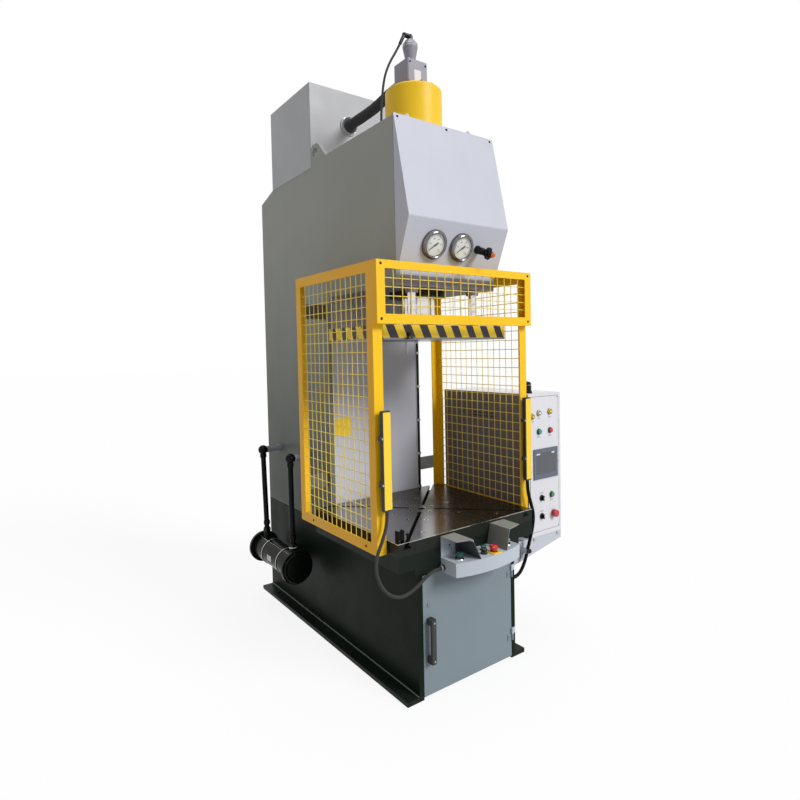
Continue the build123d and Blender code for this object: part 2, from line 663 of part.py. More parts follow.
# Cable from the left curtain, hanging in a loop to the console
CABLE_Y = CURTAIN_FRONT_Y + CURTAIN_DEPTH / 2
PLUG_FOOT = CURTAIN_BOTTOM - CURTAIN_PLUG
cable_points = [
    (-CURTAIN_X, CABLE_Y, PLUG_FOOT),
    (-CURTAIN_X, CABLE_Y, 853.0),
    (-493.0, -350.0, 787.0),
    (-529.0, -357.0, 728.0),
    (-545.0, -368.0, 668.0),
    (-533.0, -382.0, 606.0),
    (-497.0, -395.0, 556.0),
    (-440.0, -405.0, 532.0),
    (-378.0, -410.0, 548.0),
    (-322.0, -412.0, 582.0),
    (-264.0, -412.0, 612.0),
    (-214.0, -412.0, 612.0),
]

# Conduit from the right curtain, through its clip, down to the frame side
CLIP_FRONT_Y = -350.0
conduit_points = [
    (CURTAIN_X, CABLE_Y, PLUG_FOOT),
    (CURTAIN_X, CABLE_Y, 850.0),
    (483.0, -349.0, 783.0),
    (504.0, -350.0, 712.0),
    (496.0, -347.0, 642.0),
    (479.0, -342.0, 580.0),
    (463.0, -337.0, 520.0),
    (446.0, -333.0, 462.0),
    (414.0, -331.0, 414.0),
    (376.0, -330.0, 396.0),
    (338.0, -330.0, 396.0),
]

# Brackets: guard stand-offs, curtain clamps, hinge leaves, conduit clip and gland
with BuildPart() as brackets:
    for side in (-1, 1):
        for z in (900.0, 1850.0):
            xa, xb = sorted((side * FRAME_HALF, side * (GUARD_X - 14)))
            block(xa, xb, GUARD_BACK_Y, GUARD_BACK_Y + 6, z - 40, z + 40)
        xa, xb = sorted((side * TABLE_HALF, side * (GUARD_X - GUARD_T)))
        for y in (-220.0, 297.0):
            block(xa, xb, y - 22, y + 22, GUARD_BOTTOM + GUARD_T, GUARD_BOTTOM + 29)
        for z in (1031.0, 1237.0):
            xa, xb = side * CURTAIN_X - 14, side * CURTAIN_X + 14
            block(xa, xb, CURTAIN_FRONT_Y + CURTAIN_DEPTH, GUARD_FRONT_Y, z - 9, z + 9)
    for z in (130.3, 465.3):
        rod_z(HINGE_X, HINGE_Y, z, z + 30, HINGE_R)
        block(HINGE_X, FRAME_HALF - 4, FRONT_Y - 3, FRONT_Y, z, z + 30)
    block(446, 473, CAB_Y0 - 4, CAB_Y0, 472, 552)
    for z in (499.0, 540.0):
        rod_y(460, z, CAB_Y0 - 5, CAB_Y0 + 1, 4, mode=Mode.SUBTRACT)
    block(446, 480, CLIP_FRONT_Y, CAB_Y0 - 4, 509, 529)
    clip_run = Vector(*conduit_points[6]) - Vector(*conduit_points[5])
    clip_at = Vector(*conduit_points[6]) - clip_run.normalized() * 16
    with BuildSketch(Plane(origin=clip_at, z_dir=clip_run)):
        Circle(CONDUIT_R + 1)
    extrude(amount=32, mode=Mode.SUBTRACT)
    rod_x(conduit_points[-1][1], conduit_points[-1][2], FRAME_HALF, FRAME_HALF + 18, CONDUIT_R + 4)
save(brackets.part, "brackets")

# Light curtain bars on the two front posts, each with a window recess and a plug at its foot
with BuildPart() as light_curtains:
    for side in (-1, 1):
        x = side * CURTAIN_X
        half = CURTAIN_W / 2
        back = CURTAIN_FRONT_Y + CURTAIN_DEPTH
        block(x - half, x + half, CURTAIN_FRONT_Y, back, CURTAIN_BOTTOM, CURTAIN_TOP)
        xa, xb = sorted((x - side * half, x - side * (half - 3)))
        window = (CURTAIN_FRONT_Y + 5, back - 5, CURTAIN_BOTTOM + 22, CURTAIN_TOP - 22)
        block(xa, xb, *window, mode=Mode.SUBTRACT)
        rod_z(x, CABLE_Y, CURTAIN_BOTTOM - CURTAIN_PLUG, CURTAIN_BOTTOM, 10.5)
save(light_curtains.part, "light_curtains")

save(cord(cable_points, CABLE_R, "curtain_cable"), "curtain_cable")
save(cord(conduit_points, CONDUIT_R, "curtain_conduit"), "curtain_conduit")


def console_outline(height, inset=0.0):
    """Draws the console's plan at a height: straight back, bowed front."""
    xa = CONSOLE_MID - CONSOLE_HALF + inset
    xb = CONSOLE_MID + CONSOLE_HALF - inset
    back = TABLE_FRONT_Y - inset
    side = CONSOLE_SIDE_Y + inset
    nose = CONSOLE_NOSE_Y + inset
    with BuildSketch(Plane.XY.offset(height)) as plan:
        with BuildLine():
            Polyline((xa, side), (xa, back), (xb, back), (xb, side))
            ThreePointArc((xa, side), (CONSOLE_MID, nose), (xb, side))
        make_face()
    return plan.sketch


# Places of the console controls: x, y
CONTROL_SPOTS = {
    "palm_left": (CONSOLE_MID - PALM_X, PALM_Y),
    "palm_right": (CONSOLE_MID + PALM_X, PALM_Y),
    "console_button": (28.0, -446.0),
    "console_selector": (-7.0, -484.0),
    "console_estop": (46.0, -497.0),
}

# Console: bowed box, open below, held by the bar under the table box
with BuildPart() as console_box:
    extrude(console_outline(CONSOLE_BOTTOM), amount=CONSOLE_TOP - CONSOLE_BOTTOM)
    hollow = console_outline(CONSOLE_BOTTOM - 1, CONSOLE_WALL)
    extrude(hollow, amount=CONSOLE_TOP - CONSOLE_BOTTOM - CONSOLE_WALL + 1, mode=Mode.SUBTRACT)
    for spot in CONTROL_SPOTS.values():
        rod_z(spot[0], spot[1], CONSOLE_TOP - 8, CONSOLE_TOP + 1, STEM_R + RUN, mode=Mode.SUBTRACT)
    gland = cable_points[-1]
    rod_x(gland[1], gland[2], gland[0], CONSOLE_MID - CONSOLE_HALF, CABLE_R + 4)
save(console_box.part, "console_box")

# Shrouds over the palm buttons: back plate, roof and slanted inner wall, open to the front and outside
with BuildPart() as console_shrouds:
    for side in (-1, 1):
        outer = CONSOLE_MID + side * CONSOLE_HALF
        top = CONSOLE_MID + side * SHROUD_SHOULDER[side]
        foot = CONSOLE_MID + side * SHROUD_FOOT[side]
        t = SHROUD_T * side
        bent_sheet = [
            (outer, SHROUD_TOP),
            (top, SHROUD_TOP),
            (foot, CONSOLE_TOP),
            (foot + t, CONSOLE_TOP),
            (top + t, SHROUD_TOP - SHROUD_T),
            (outer, SHROUD_TOP - SHROUD_T),
        ]
        prism_y(bent_sheet, CONSOLE_NOSE_Y, TABLE_FRONT_Y)
        back_plate = [(outer, CONSOLE_TOP), (outer, SHROUD_TOP), (top, SHROUD_TOP), (foot, CONSOLE_TOP)]
        prism_y(back_plate, TABLE_FRONT_Y - SHROUD_T, TABLE_FRONT_Y)
        peep = CONSOLE_MID + side * PALM_X
        rod_y(peep, 702, TABLE_FRONT_Y - SHROUD_T - 1, TABLE_FRONT_Y + 1, 5, mode=Mode.SUBTRACT)
    extrude(console_outline(CONSOLE_TOP - 1), amount=SHROUD_TOP - CONSOLE_TOP + 2, mode=Mode.INTERSECT)
save(console_shrouds.part, "console_shrouds")


def mushroom(x, y, head_r, head_h, gap, label):
    """Turns an upright push button: stem through the console top and a domed, flared head."""
    crown = head_h * 0.4
    dome = (head_r**2 + crown**2) / (2 * crown)
    top = gap + head_h
    half_way = top - dome + math.sqrt(dome**2 - head_r**2 / 4)
    with BuildPart() as cap:
        with BuildSketch(Plane.XZ) as half:
            rim = (head_r, top - crown)
            with BuildLine():
                Polyline((0, top), (0, -20), (STEM_R, -20), (STEM_R, gap), (head_r * 0.84, gap), rim)
                ThreePointArc(rim, (head_r / 2, half_way), (0, top))
            make_face()
        revolve(half.sketch, axis=Axis.Z)
    save(cap.part.moved(Location((x, y, CONSOLE_TOP))), label)


COLLAR_H = 8.0
RING_H = 4.0
RING_R = 16.5
LENS_R = 13.5
mushroom(*CONTROL_SPOTS["palm_left"], PALM_R, 18, COLLAR_H + 7, "palm_left")
mushroom(*CONTROL_SPOTS["palm_right"], PALM_R, 18, COLLAR_H + 7, "palm_right")
mushroom(*CONTROL_SPOTS["console_button"], 15.5, 16, 10, "console_button")
mushroom(*CONTROL_SPOTS["console_estop"], STOP_R, 22, COLLAR_H + 6, "console_estop")

# Rotary selector on the console
sx, sy = CONTROL_SPOTS["console_selector"]
with BuildPart() as console_selector:
    rod_z(sx, sy, CONSOLE_TOP - 20, CONSOLE_TOP + 5, STEM_R)
    rod_z(sx, sy, CONSOLE_TOP + 5, CONSOLE_TOP + 10, 15)
    block(sx - 4, sx + 4, sy - 15, sy + 15, CONSOLE_TOP + 10, CONSOLE_TOP + 21)
save(console_selector.part, "console_selector")

# Cabinet front controls: x, z
CAB_SPOTS = {
    "lamp_white": (609.0, 1259.0),
    "lamp_yellow": (702.0, 1261.0),
    "lamp_amber": (553.0, 1242.0),
    "button_teal": (609.0, 1154.0),
    "button_red": (704.0, 1154.0),
    "selector_upper": (626.0, 777.0),
    "button_green": (712.0, 784.0),
    "selector_lower": (626.0, 673.0),
    "cabinet_estop": (727.0, 674.0),
}
PANEL_FACE_Y = CAB_Y0 - 1.0

# Cabinet shell: five walls, open to the right where the door closes it
with BuildPart() as cabinet_shell:
    block(CAB_X0, CAB_X1, CAB_Y0, CAB_Y1, CAB_Z0, CAB_Z1)
    bay = (CAB_Y0 + CAB_WALL, CAB_Y1 - CAB_WALL, CAB_Z0 + CAB_WALL, CAB_Z1 - CAB_WALL)
    block(CAB_X0 + CAB_WALL, CAB_X1 + 1, *bay, mode=Mode.SUBTRACT)
    block(534, 778, CAB_Y0 - 1, CAB_Y0 + CAB_WALL + 1, 590, 1350, mode=Mode.SUBTRACT)
    rod_z(590, -250, CAB_Z1, CAB_Z1 + 14, 17)
    rod_z(590, -250, CAB_Z1 + 14, CAB_Z1 + 52, 14)
    with Locations((590, -250, CAB_Z1 + 52)):
        Sphere(14)
    with BuildSketch(Plane(origin=Vector(590, -250, CAB_Z1 + 52), z_dir=Vector(0.35, 0.85, 0.1))):
        Circle(11)
    extrude(amount=32)
    for z in (700.3, 1270.3):
        rod_z(CAB_X1 + SEAT + CAB_DOOR_T, CAB_Y1 + 12, z, z + 30, 6)
        block(CAB_X1 - 14, CAB_X1, CAB_Y1 - 1, CAB_Y1 + 8, z, z + 30)
        block(CAB_X1 - 14, CAB_X1 + 4, CAB_Y1 + 4, CAB_Y1 + 12, z, z + 30)
save(cabinet_shell.part, "cabinet_shell")

# Operator panel set in the front of the cabinet
with BuildPart() as cabinet_panel:
    block(534.5, 777.5, PANEL_FACE_Y, PANEL_FACE_Y + 4, 590.5, 1349.5)
    for spot in CAB_SPOTS.values():
        rod_y(spot[0], spot[1], PANEL_FACE_Y - 1, PANEL_FACE_Y + 5, STEM_R + RUN, mode=Mode.SUBTRACT)
    block(566, 758, PANEL_FACE_Y - 1, PANEL_FACE_Y + 5, 893, 1049, mode=Mode.SUBTRACT)
save(cabinet_panel.part, "cabinet_panel")

# Cabinet door on the right side, with hinge barrels on its back edge
with BuildPart() as cabinet_door:
    block(CAB_X1 + SEAT, CAB_X1 + SEAT + CAB_DOOR_T, CAB_Y0, CAB_Y1, CAB_Z0, CAB_Z1)
    chamfer(cabinet_door.edges().filter_by(Axis.X), length=4)
    block(CAB_X1 + SEAT + CAB_DOOR_T, CAB_X1 + SEAT + CAB_DOOR_T + 20, CAB_Y0 + 40, CAB_Y0 + 62, 900, 1030)
    block(CAB_X1 + SEAT, CAB_X1 + SEAT + CAB_DOOR_T, CAB_Y1 - 1, CAB_Y1 + 12, 660, 700)
    block(CAB_X1 + SEAT, CAB_X1 + SEAT + CAB_DOOR_T, CAB_Y1 - 1, CAB_Y1 + 12, 1230, 1270)
    for z in (660, 1230):
        rod_z(CAB_X1 + SEAT + CAB_DOOR_T, CAB_Y1 + 12, z, z + 40, 6)
save(cabinet_door.part, "cabinet_door")

# Gusset that carries the cabinet from the frame side
with BuildPart() as cabinet_gusset:
    wing = [(FRAME_HALF, 430), (FRAME_HALF, CAB_Z0), (CAB_X1, CAB_Z0), (CAB_X1, 519)]
    prism_y(wing, CAB_Y0, CAB_Y0 + 6)
    prism_y(wing, CAB_Y1 - 6, CAB_Y1)
    block(FRAME_HALF, CAB_X1, CAB_Y0, CAB_Y1, CAB_Z0 - 6, CAB_Z0)
save(cabinet_gusset.part, "cabinet_gusset")

# Touch screen, set through the panel
with BuildPart() as touch_screen:
    block(560, 764, PANEL_FACE_Y - 6, PANEL_FACE_Y, 886, 1056)
    block(566.3, 757.7, PANEL_FACE_Y, PANEL_FACE_Y + 38, 893.3, 1048.7)
    block(577, 747, PANEL_FACE_Y - 7, PANEL_FACE_Y - 5, 914, 1032, mode=Mode.SUBTRACT)
save(touch_screen.part, "touch_screen")

# Collars round every control on the console and on the cabinet panel
with BuildPart() as button_bezels:
    for label, spot in CONTROL_SPOTS.items():
        ring_r = 21 if label.startswith("palm") else 17
        ring_h = COLLAR_H if label.startswith("palm") else 4
        if label == "console_estop":
            block(spot[0] - 28, spot[0] + 28, spot[1] - 28, spot[1] + 28, CONSOLE_TOP, CONSOLE_TOP + 3)
        rod_z(spot[0], spot[1], CONSOLE_TOP, CONSOLE_TOP + ring_h, ring_r)
        rod_z(spot[0], spot[1], CONSOLE_TOP - 1, CONSOLE_TOP + ring_h + 1, STEM_R + RUN, mode=Mode.SUBTRACT)
    for label, spot in CAB_SPOTS.items():
        rod_y(spot[0], spot[1], PANEL_FACE_Y - RING_H, PANEL_FACE_Y, RING_R)
        rod_y(spot[0], spot[1], PANEL_FACE_Y - 5, PANEL_FACE_Y + 1, STEM_R + RUN, mode=Mode.SUBTRACT)
save(button_bezels.part, "button_bezels")

# Indicator lamps, fixed lenses
with BuildPart() as indicator_lamps:
    for label in ("lamp_white", "lamp_yellow", "lamp_amber"):
        x, z = CAB_SPOTS[label]
        rod_y(x, z, PANEL_FACE_Y - RING_H, PANEL_FACE_Y + 24, STEM_R)
        rod_y(x, z, PANEL_FACE_Y - RING_H - 7, PANEL_FACE_Y - RING_H, LENS_R)
    fillet(indicator_lamps.faces().group_by(Axis.Y)[0].edges(), radius=2.5)
save(indicator_lamps.part, "indicator_lamps")

# Push buttons on the cabinet
for label in ("button_teal", "button_red", "button_green"):
    x, z = CAB_SPOTS[label]
    with BuildPart() as push:
        rod_y(x, z, PANEL_FACE_Y - RING_H - 4, PANEL_FACE_Y + 24, STEM_R)
        rod_y(x, z, PANEL_FACE_Y - RING_H - 9, PANEL_FACE_Y - RING_H - 4, LENS_R)
        fillet(push.faces().sort_by(Axis.Y)[0].edges(), radius=2)
    save(push.part, label)

# Rotary selectors on the cabinet
for label in ("selector_upper", "selector_lower"):
    x, z = CAB_SPOTS[label]
    with BuildPart() as turn_knob:
        rod_y(x, z, PANEL_FACE_Y - 5, PANEL_FACE_Y + 24, STEM_R)
        rod_y(x, z, PANEL_FACE_Y - 10, PANEL_FACE_Y - 5, 13)
        block(x - 3.5, x + 3.5, PANEL_FACE_Y - 20, PANEL_FACE_Y - 10, z - 13, z + 13)
    save(turn_knob.part, label)

# Emergency stop on the cabinet
x, z = CAB_SPOTS["cabinet_estop"]
with BuildPart() as cabinet_estop:
    rod_y(x, z, PANEL_FACE_Y - 12, PANEL_FACE_Y + 24, STEM_R)
    rod_y(x, z, PANEL_FACE_Y - 28, PANEL_FACE_Y - 12, 21)
    fillet(cabinet_estop.faces().sort_by(Axis.Y)[0].edges(), radius=5)
save(cabinet_estop.part, "cabinet_estop")

# Oil cooler: flanged shell with end covers, bands, ports and saddles
with BuildPart() as oil_cooler:
    rod_y(COOLER_X, COOLER_Z, COOLER_Y0 + 10, COOLER_Y1 - 10, COOLER_R)
    rod_y(COOLER_X, COOLER_Z, COOLER_Y0 + 14, COOLER_Y0 + 34, COOLER_CAP_R)
    rod_y(COOLER_X, COOLER_Z, COOLER_Y0, COOLER_Y0 + 14, COOLER_CAP_R - 10)
    rod_y(COOLER_X, COOLER_Z, COOLER_Y1 - 34, COOLER_Y1 - 14, COOLER_CAP_R)
    rod_y(COOLER_X, COOLER_Z, COOLER_Y1 - 14, COOLER_Y1, COOLER_CAP_R - 10)
    for y in (748.0, 960.0):
        rod_y(COOLER_X, COOLER_Z, y, y + 6, COOLER_R + 3)
    for y in (PORT_FRONT_Y, PORT_BACK_Y):
        rod_z(COOLER_X, y, COOLER_Z, 470, 22)
    for y in (800.0, 900.0):
        block(COOLER_X, -FRAME_HALF, y, y + 14, COOLER_Z - 30, COOLER_Z + 30)
    fillet(oil_cooler.faces().sort_by(Axis.Y)[0].edges(), radius=6)
save(oil_cooler.part, "oil_cooler")

# Two pipes: stub from the frame, ball elbow and drop pipe with a ferrule
with BuildPart() as cooler_pipes:
    for y_top, y_port in ((676.0, PORT_FRONT_Y), (1082.0, PORT_BACK_Y)):
        rod_x(y_top, PIPE_Z, COOLER_X, -FRAME_HALF, 18)
        with Locations((COOLER_X, y_top, PIPE_Z)):
            Sphere(30)
        rod_z(COOLER_X, y_port, 470, 500, 20)
        drop = Vector(0, y_port - y_top, 495 - PIPE_Z)
        with BuildSketch(Plane(origin=Vector(COOLER_X, y_top, PIPE_Z), z_dir=drop)):
            Circle(16)
        extrude(amount=drop.length)
save(cooler_pipes.part, "cooler_pipes")

# Pedestal door: folded sheet with hinge barrels on its right edge
with BuildPart() as front_door:
    block(-DOOR_HALF, DOOR_HALF, FRONT_Y, FRONT_Y + DOOR_DEPTH, DOOR_BOTTOM, DOOR_TOP)
    door_hollow = (FRONT_Y + 3, FRONT_Y + DOOR_DEPTH + 1, DOOR_BOTTOM + 3, DOOR_TOP - 3)
    block(-DOOR_HALF + 3, DOOR_HALF - 3, *door_hollow, mode=Mode.SUBTRACT)
    for z in (100.0, 435.0):
        rod_z(HINGE_X, HINGE_Y, z, z + 30, HINGE_R)
        block(262, HINGE_X, FRONT_Y - 3, FRONT_Y, z, z + 30)
save(front_door.part, "front_door")

# Bridge handle on the door
with BuildPart() as door_handle:
    block(-272, -244, FRONT_Y - 40, FRONT_Y - 26, 172, 380)
    for z in (172.0, 352.0):
        block(-272, -244, FRONT_Y - 40, FRONT_Y, z, z + 28)
    fillet(door_handle.edges().filter_by(Axis.Z).filter_by(lambda e: e.center().Y < FRONT_Y - 38), radius=6)
save(door_handle.part, "door_handle")

# Motor and pump set inside the pedestal
with BuildPart() as pump_motor:
    block(-140, 140, -180, 330, BASE_T, BASE_T + 20)
    block(-90, 90, 40, 260, BASE_T + 20, 120)
    rod_y(0, 210, 0, 320, 125)
    rod_y(0, 210, -60, 0, 90)
    block(-60, 60, -170, -60, 150, 270)
save(pump_motor.part, "pump_motor")
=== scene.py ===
"""Looks of the hydraulic C-frame press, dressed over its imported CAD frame.

Sizes are in millimetres in the classes and become metres when a mesh is made.
"""

import json
import logging
import math
from dataclasses import dataclass, field
from enum import Enum
from typing import Sequence

import bpy
import numpy as np
from mathutils import Matrix, Vector

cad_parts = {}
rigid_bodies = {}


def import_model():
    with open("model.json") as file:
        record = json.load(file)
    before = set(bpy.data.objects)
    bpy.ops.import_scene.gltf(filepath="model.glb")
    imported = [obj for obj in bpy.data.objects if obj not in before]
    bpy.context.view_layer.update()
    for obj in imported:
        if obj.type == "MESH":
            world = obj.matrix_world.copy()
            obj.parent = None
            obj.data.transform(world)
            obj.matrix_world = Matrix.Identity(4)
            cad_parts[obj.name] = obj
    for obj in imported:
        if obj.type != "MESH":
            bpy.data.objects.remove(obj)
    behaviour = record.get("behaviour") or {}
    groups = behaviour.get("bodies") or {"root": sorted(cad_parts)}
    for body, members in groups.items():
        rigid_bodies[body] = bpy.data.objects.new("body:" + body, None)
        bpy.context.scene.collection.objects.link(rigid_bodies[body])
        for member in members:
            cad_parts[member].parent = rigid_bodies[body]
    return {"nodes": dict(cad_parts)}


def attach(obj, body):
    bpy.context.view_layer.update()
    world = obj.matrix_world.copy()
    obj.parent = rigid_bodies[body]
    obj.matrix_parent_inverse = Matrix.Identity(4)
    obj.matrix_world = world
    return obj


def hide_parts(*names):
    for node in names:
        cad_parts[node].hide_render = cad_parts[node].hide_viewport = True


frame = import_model()
log = logging.getLogger("press")

MM = 0.001
BASE = "press_frame"
X, Y, Z = np.eye(3)
Colour = tuple[int, int, int]
Array = np.ndarray
Spot = tuple[float, float]


# Shader expressions


def linear(colour: Colour) -> tuple[float, float, float, float]:
    """Turns an 8-bit screen colour into linear light.

    Args:
        colour: red, green and blue from 0 to 255.

    Returns:
        Linear red, green and blue, and full opacity.
    """
    scaled = [c / 255 for c in colour]
    lit = [c / 12.92 if c <= 0.04045 else ((c + 0.055) / 1.055) ** 2.4 for c in scaled]
    return (*lit, 1.0)


class Field:
    """One socket of a material, with arithmetic that adds Math nodes."""

    def __init__(self, graph: "Graph", socket: bpy.types.NodeSocket) -> None:
        """Wraps a socket of a graph."""
        self.graph = graph
        self.socket = socket

    def math(self, operation: str, *others: "Field | float", clamp: bool = False) -> "Field":
        """Adds one Math node.

        Args:
            operation: the node's operation.
            others: further operands.
            clamp: whether the result stays between 0 and 1.

        Returns:
            The result as a field.
        """
        links = {0: self}
        for place, other in enumerate(others, start=1):
            links[place] = other
        return self.graph.field("ShaderNodeMath", {"operation": operation, "use_clamp": clamp}, links)

    def __add__(self, other: "Field | float") -> "Field":
        """Sum."""
        return self.math("ADD", other)

    def __sub__(self, other: "Field | float") -> "Field":
        """Difference."""
        return self.math("SUBTRACT", other)

    def __rsub__(self, other: float) -> "Field":
        """Difference from a number."""
        return self.math("MULTIPLY_ADD", -1.0, other)

    def __mul__(self, other: "Field | float") -> "Field":
        """Product."""
        return self.math("MULTIPLY", other)

    def __truediv__(self, other: "Field | float") -> "Field":
        """Quotient."""
        return self.math("DIVIDE", other)

    def __gt__(self, other: "Field | float") -> "Field":
        """1 where this is greater."""
        return self.math("GREATER_THAN", other)

    def __lt__(self, other: "Field | float") -> "Field":
        """1 where this is less."""
        return self.math("LESS_THAN", other)

    def ramp(self, low: float, high: float, bottom: float = 0.0, top: float = 1.0) -> "Field":
        """Maps low..high to bottom..top with a smooth step, held at both ends."""
        links = {0: self, 1: low, 2: high, 3: bottom, 4: top}
        return self.graph.field("ShaderNodeMapRange", {"interpolation_type": "SMOOTHSTEP"}, links)


class Graph:
    """The node tree of one material, filled by one generic method."""

    def __init__(self, name: str) -> None:
        """Makes an empty material.

        Args:
            name: the material's name.
        """
        self.material = bpy.data.materials.new(name)
        self.material.use_nodes = True
        self.tree = self.material.node_tree
        self.tree.nodes.clear()
        self._places: dict[str, "Field"] = {}

    def node(self, kind: str, settings: dict | None = None, links: dict | None = None) -> bpy.types.Node:
        """Adds a node.

        Args:
            kind: the node's type.
            settings: attributes, set first; "stops" fills a colour ramp.
            links: a value or a field for each input, by name or place.

        Returns:
            The node.
        """
        made = self.tree.nodes.new(kind)
        for key, value in (settings or {}).items():
            if key == "stops":
                elements = made.color_ramp.elements
                while len(elements) < len(value):
                    elements.new(0.5)
                for element, (place, colour) in zip(elements, value):
                    element.position = place
                    element.color = colour
            else:
                setattr(made, key, value)
        for key, value in (links or {}).items():
            if isinstance(value, Field):
                self.tree.links.new(value.socket, made.inputs[key])
            else:
                made.inputs[key].default_value = value
        return made

    def field(
        self, kind: str, settings: dict | None = None, links: dict | None = None, output: int | str = 0
    ) -> Field:
        """Adds a node and returns one of its outputs as a field."""
        return Field(self, self.node(kind, settings, links).outputs[output])

    def place(self) -> Field:
        """Object coordinates, made once.

        Returns:
            The coordinates as a field.
        """
        if "object" not in self._places:
            self._places["object"] = self.field("ShaderNodeTexCoord", output="Object")
        return self._places["object"]

    def axis(self, name: str) -> Field:
        """One object coordinate in metres, x, y or z.

        Args:
            name: x, y or z.

        Returns:
            The coordinate as a field.
        """
        if "x" not in self._places:
            split = self.node("ShaderNodeSeparateXYZ", None, {0: self.place()})
            for letter, socket in zip("xyz", split.outputs):
                self._places[letter] = Field(self, socket)
        return self._places[name]

    def stretched(self, scale: Sequence[float]) -> Field:
        """Object coordinates times a factor on each axis."""
        return self.field("ShaderNodeVectorMath", {"operation": "MULTIPLY"}, {0: self.place(), 1: tuple(scale)})

    def noise(self, scale: float, detail: float = 3.0, rough: float = 0.55, over: Field | None = None) -> Field:
        """Fractal noise from 0 to 1, with features about 1/scale metres across."""
        links = {"Vector": over or self.place(), "Scale": scale, "Detail": detail, "Roughness": rough}
        return self.field("ShaderNodeTexNoise", None, links)

    def cells(self, scale: float) -> Field:
        """Distance to the nearest of scattered points, for chips and pits."""
        return self.field("ShaderNodeTexVoronoi", None, {"Vector": self.place(), "Scale": scale})

    def mix(
        self, factor: Field | float, first: "Field | tuple", second: "Field | tuple", blend: str = "MIX"
    ) -> Field:
        """Blends two colours."""
        settings = {"data_type": "RGBA", "blend_type": blend}
        return self.field("ShaderNodeMix", settings, {0: factor, 6: first, 7: second}, output=2)

    def shade(self, colour: "Field | tuple", factor: Field) -> Field:
        """Multiplies a colour by a value."""
        grey = self.field("ShaderNodeCombineColor", None, {0: factor, 1: factor, 2: factor})
        return self.mix(1.0, colour, grey, "MULTIPLY")

    def bump(self, height: Field, strength: float, distance: float) -> Field:
        """A normal bent by a height field."""
        links = {"Strength": strength, "Distance": distance, "Height": height}
        return self.field("ShaderNodeBump", None, links)

    def surface(self, **inputs: "Field | float | tuple") -> bpy.types.Material:
        """Ends the tree in a Principled shader.

        Args:
            inputs: sockets by name, with underscores for spaces.

        Returns:
            The finished material.
        """
        links = {key.replace("_", " "): value for key, value in inputs.items()}
        shader = self.field("ShaderNodeBsdfPrincipled", None, links)
        self.node("ShaderNodeOutputMaterial", None, {"Surface": shader})
        return self.material


# Finishes


@dataclass(frozen=True)
class Finish:
    """Anything that can make a material once and hand it out again."""

    name: str

    def build(self, graph: Graph) -> bpy.types.Material:
        """Fills the graph; each finish has its own."""
        raise NotImplementedError

    def material(self) -> bpy.types.Material:
        """The finish's material, made at its first use."""
        found = bpy.data.materials.get(self.name)
        return found or self.build(Graph(self.name))


@dataclass(frozen=True)
class Paint(Finish):
    """Sprayed and baked paint on steel: orange peel, faint mottling, dust and rubbed spots, and painted shade
    where it is asked for.
    """

    colour: Colour
    roughness: float = 0.38
    peel: float = 0.12
    mottle: float = 0.03
    grime: float = 0.03
    chips: float = 0.0
    under: Colour = (92, 92, 90)
    coat: float = 0.0
    specular: float = 0.35
    lower: Colour | None = None
    split: float = 0.0
    shade_depth: float = 0.0
    tint: Colour = (255, 255, 255)
    zones: tuple[tuple[str, float, float, Colour], ...] = ()

    def build(self, graph: Graph) -> bpy.types.Material:
        """Colour from broad mottling, streaks that run down, rare chips and zones, with a painted shade that
        darkens towards the bottom; bump from fine orange peel.

        Args:
            graph: the material's node tree, still empty.

        Returns:
            The finished material.
        """
        colour: Field | tuple = linear(self.colour)
        if self.lower is not None:
            edge = graph.axis("z") + graph.noise(9.0, 2.0) * 0.004
            colour = graph.mix(edge > self.split, linear(self.lower), colour)
        # Zones paint boxes of another colour: real two-tone on the pipes, painted shade on the cabinet side,
        # the shrouds, the left brackets and the left guard's outer face.
        for name, low, high, other in self.zones:
            inside = (graph.axis(name) > low) * (graph.axis(name) < high)
            colour = graph.mix(inside, colour, linear(other))
        broad = graph.noise(1.7, 4.0)
        streaks = graph.noise(1.0, 4.0, 0.6, graph.stretched((9.0, 9.0, 0.7)))
        tone = broad.ramp(0.3, 0.75, 1.0 - self.mottle, 1.0 + self.mottle)
        tone = tone * streaks.ramp(0.45, 0.85, 1.0, 1.0 - self.grime)
        # Painted shade: above the split the colour darkens towards the tint lower down, standing in for shade
        # on the side plates.
        if self.shade_depth > 0:
            shade_mask = graph.axis("z").ramp(0.6, 2.5, self.shade_depth, 0.0) * (graph.axis("z") > self.split)
            colour = graph.mix(shade_mask, colour, linear(self.tint))
        colour = graph.shade(colour, tone)
        rough = graph.noise(6.0, 5.0).ramp(0.3, 0.7, self.roughness - 0.05, self.roughness + 0.08)
        if self.chips > 0:
            spots = graph.cells(48.0) + graph.noise(60.0, 4.0) * 0.35
            bare = spots < self.chips
            colour = graph.mix(bare, colour, linear(self.under))
            rough = rough + bare * 0.18
        peel = graph.noise(420.0, 2.0) + graph.noise(70.0, 2.0) * 0.5
        normal = graph.bump(peel, self.peel, 0.0006)
        return graph.surface(
            Base_Color=colour, Roughness=rough, Normal=normal, Coat_Weight=self.coat, Coat_Roughness=0.22,
            Specular_IOR_Level=self.specular,
        )


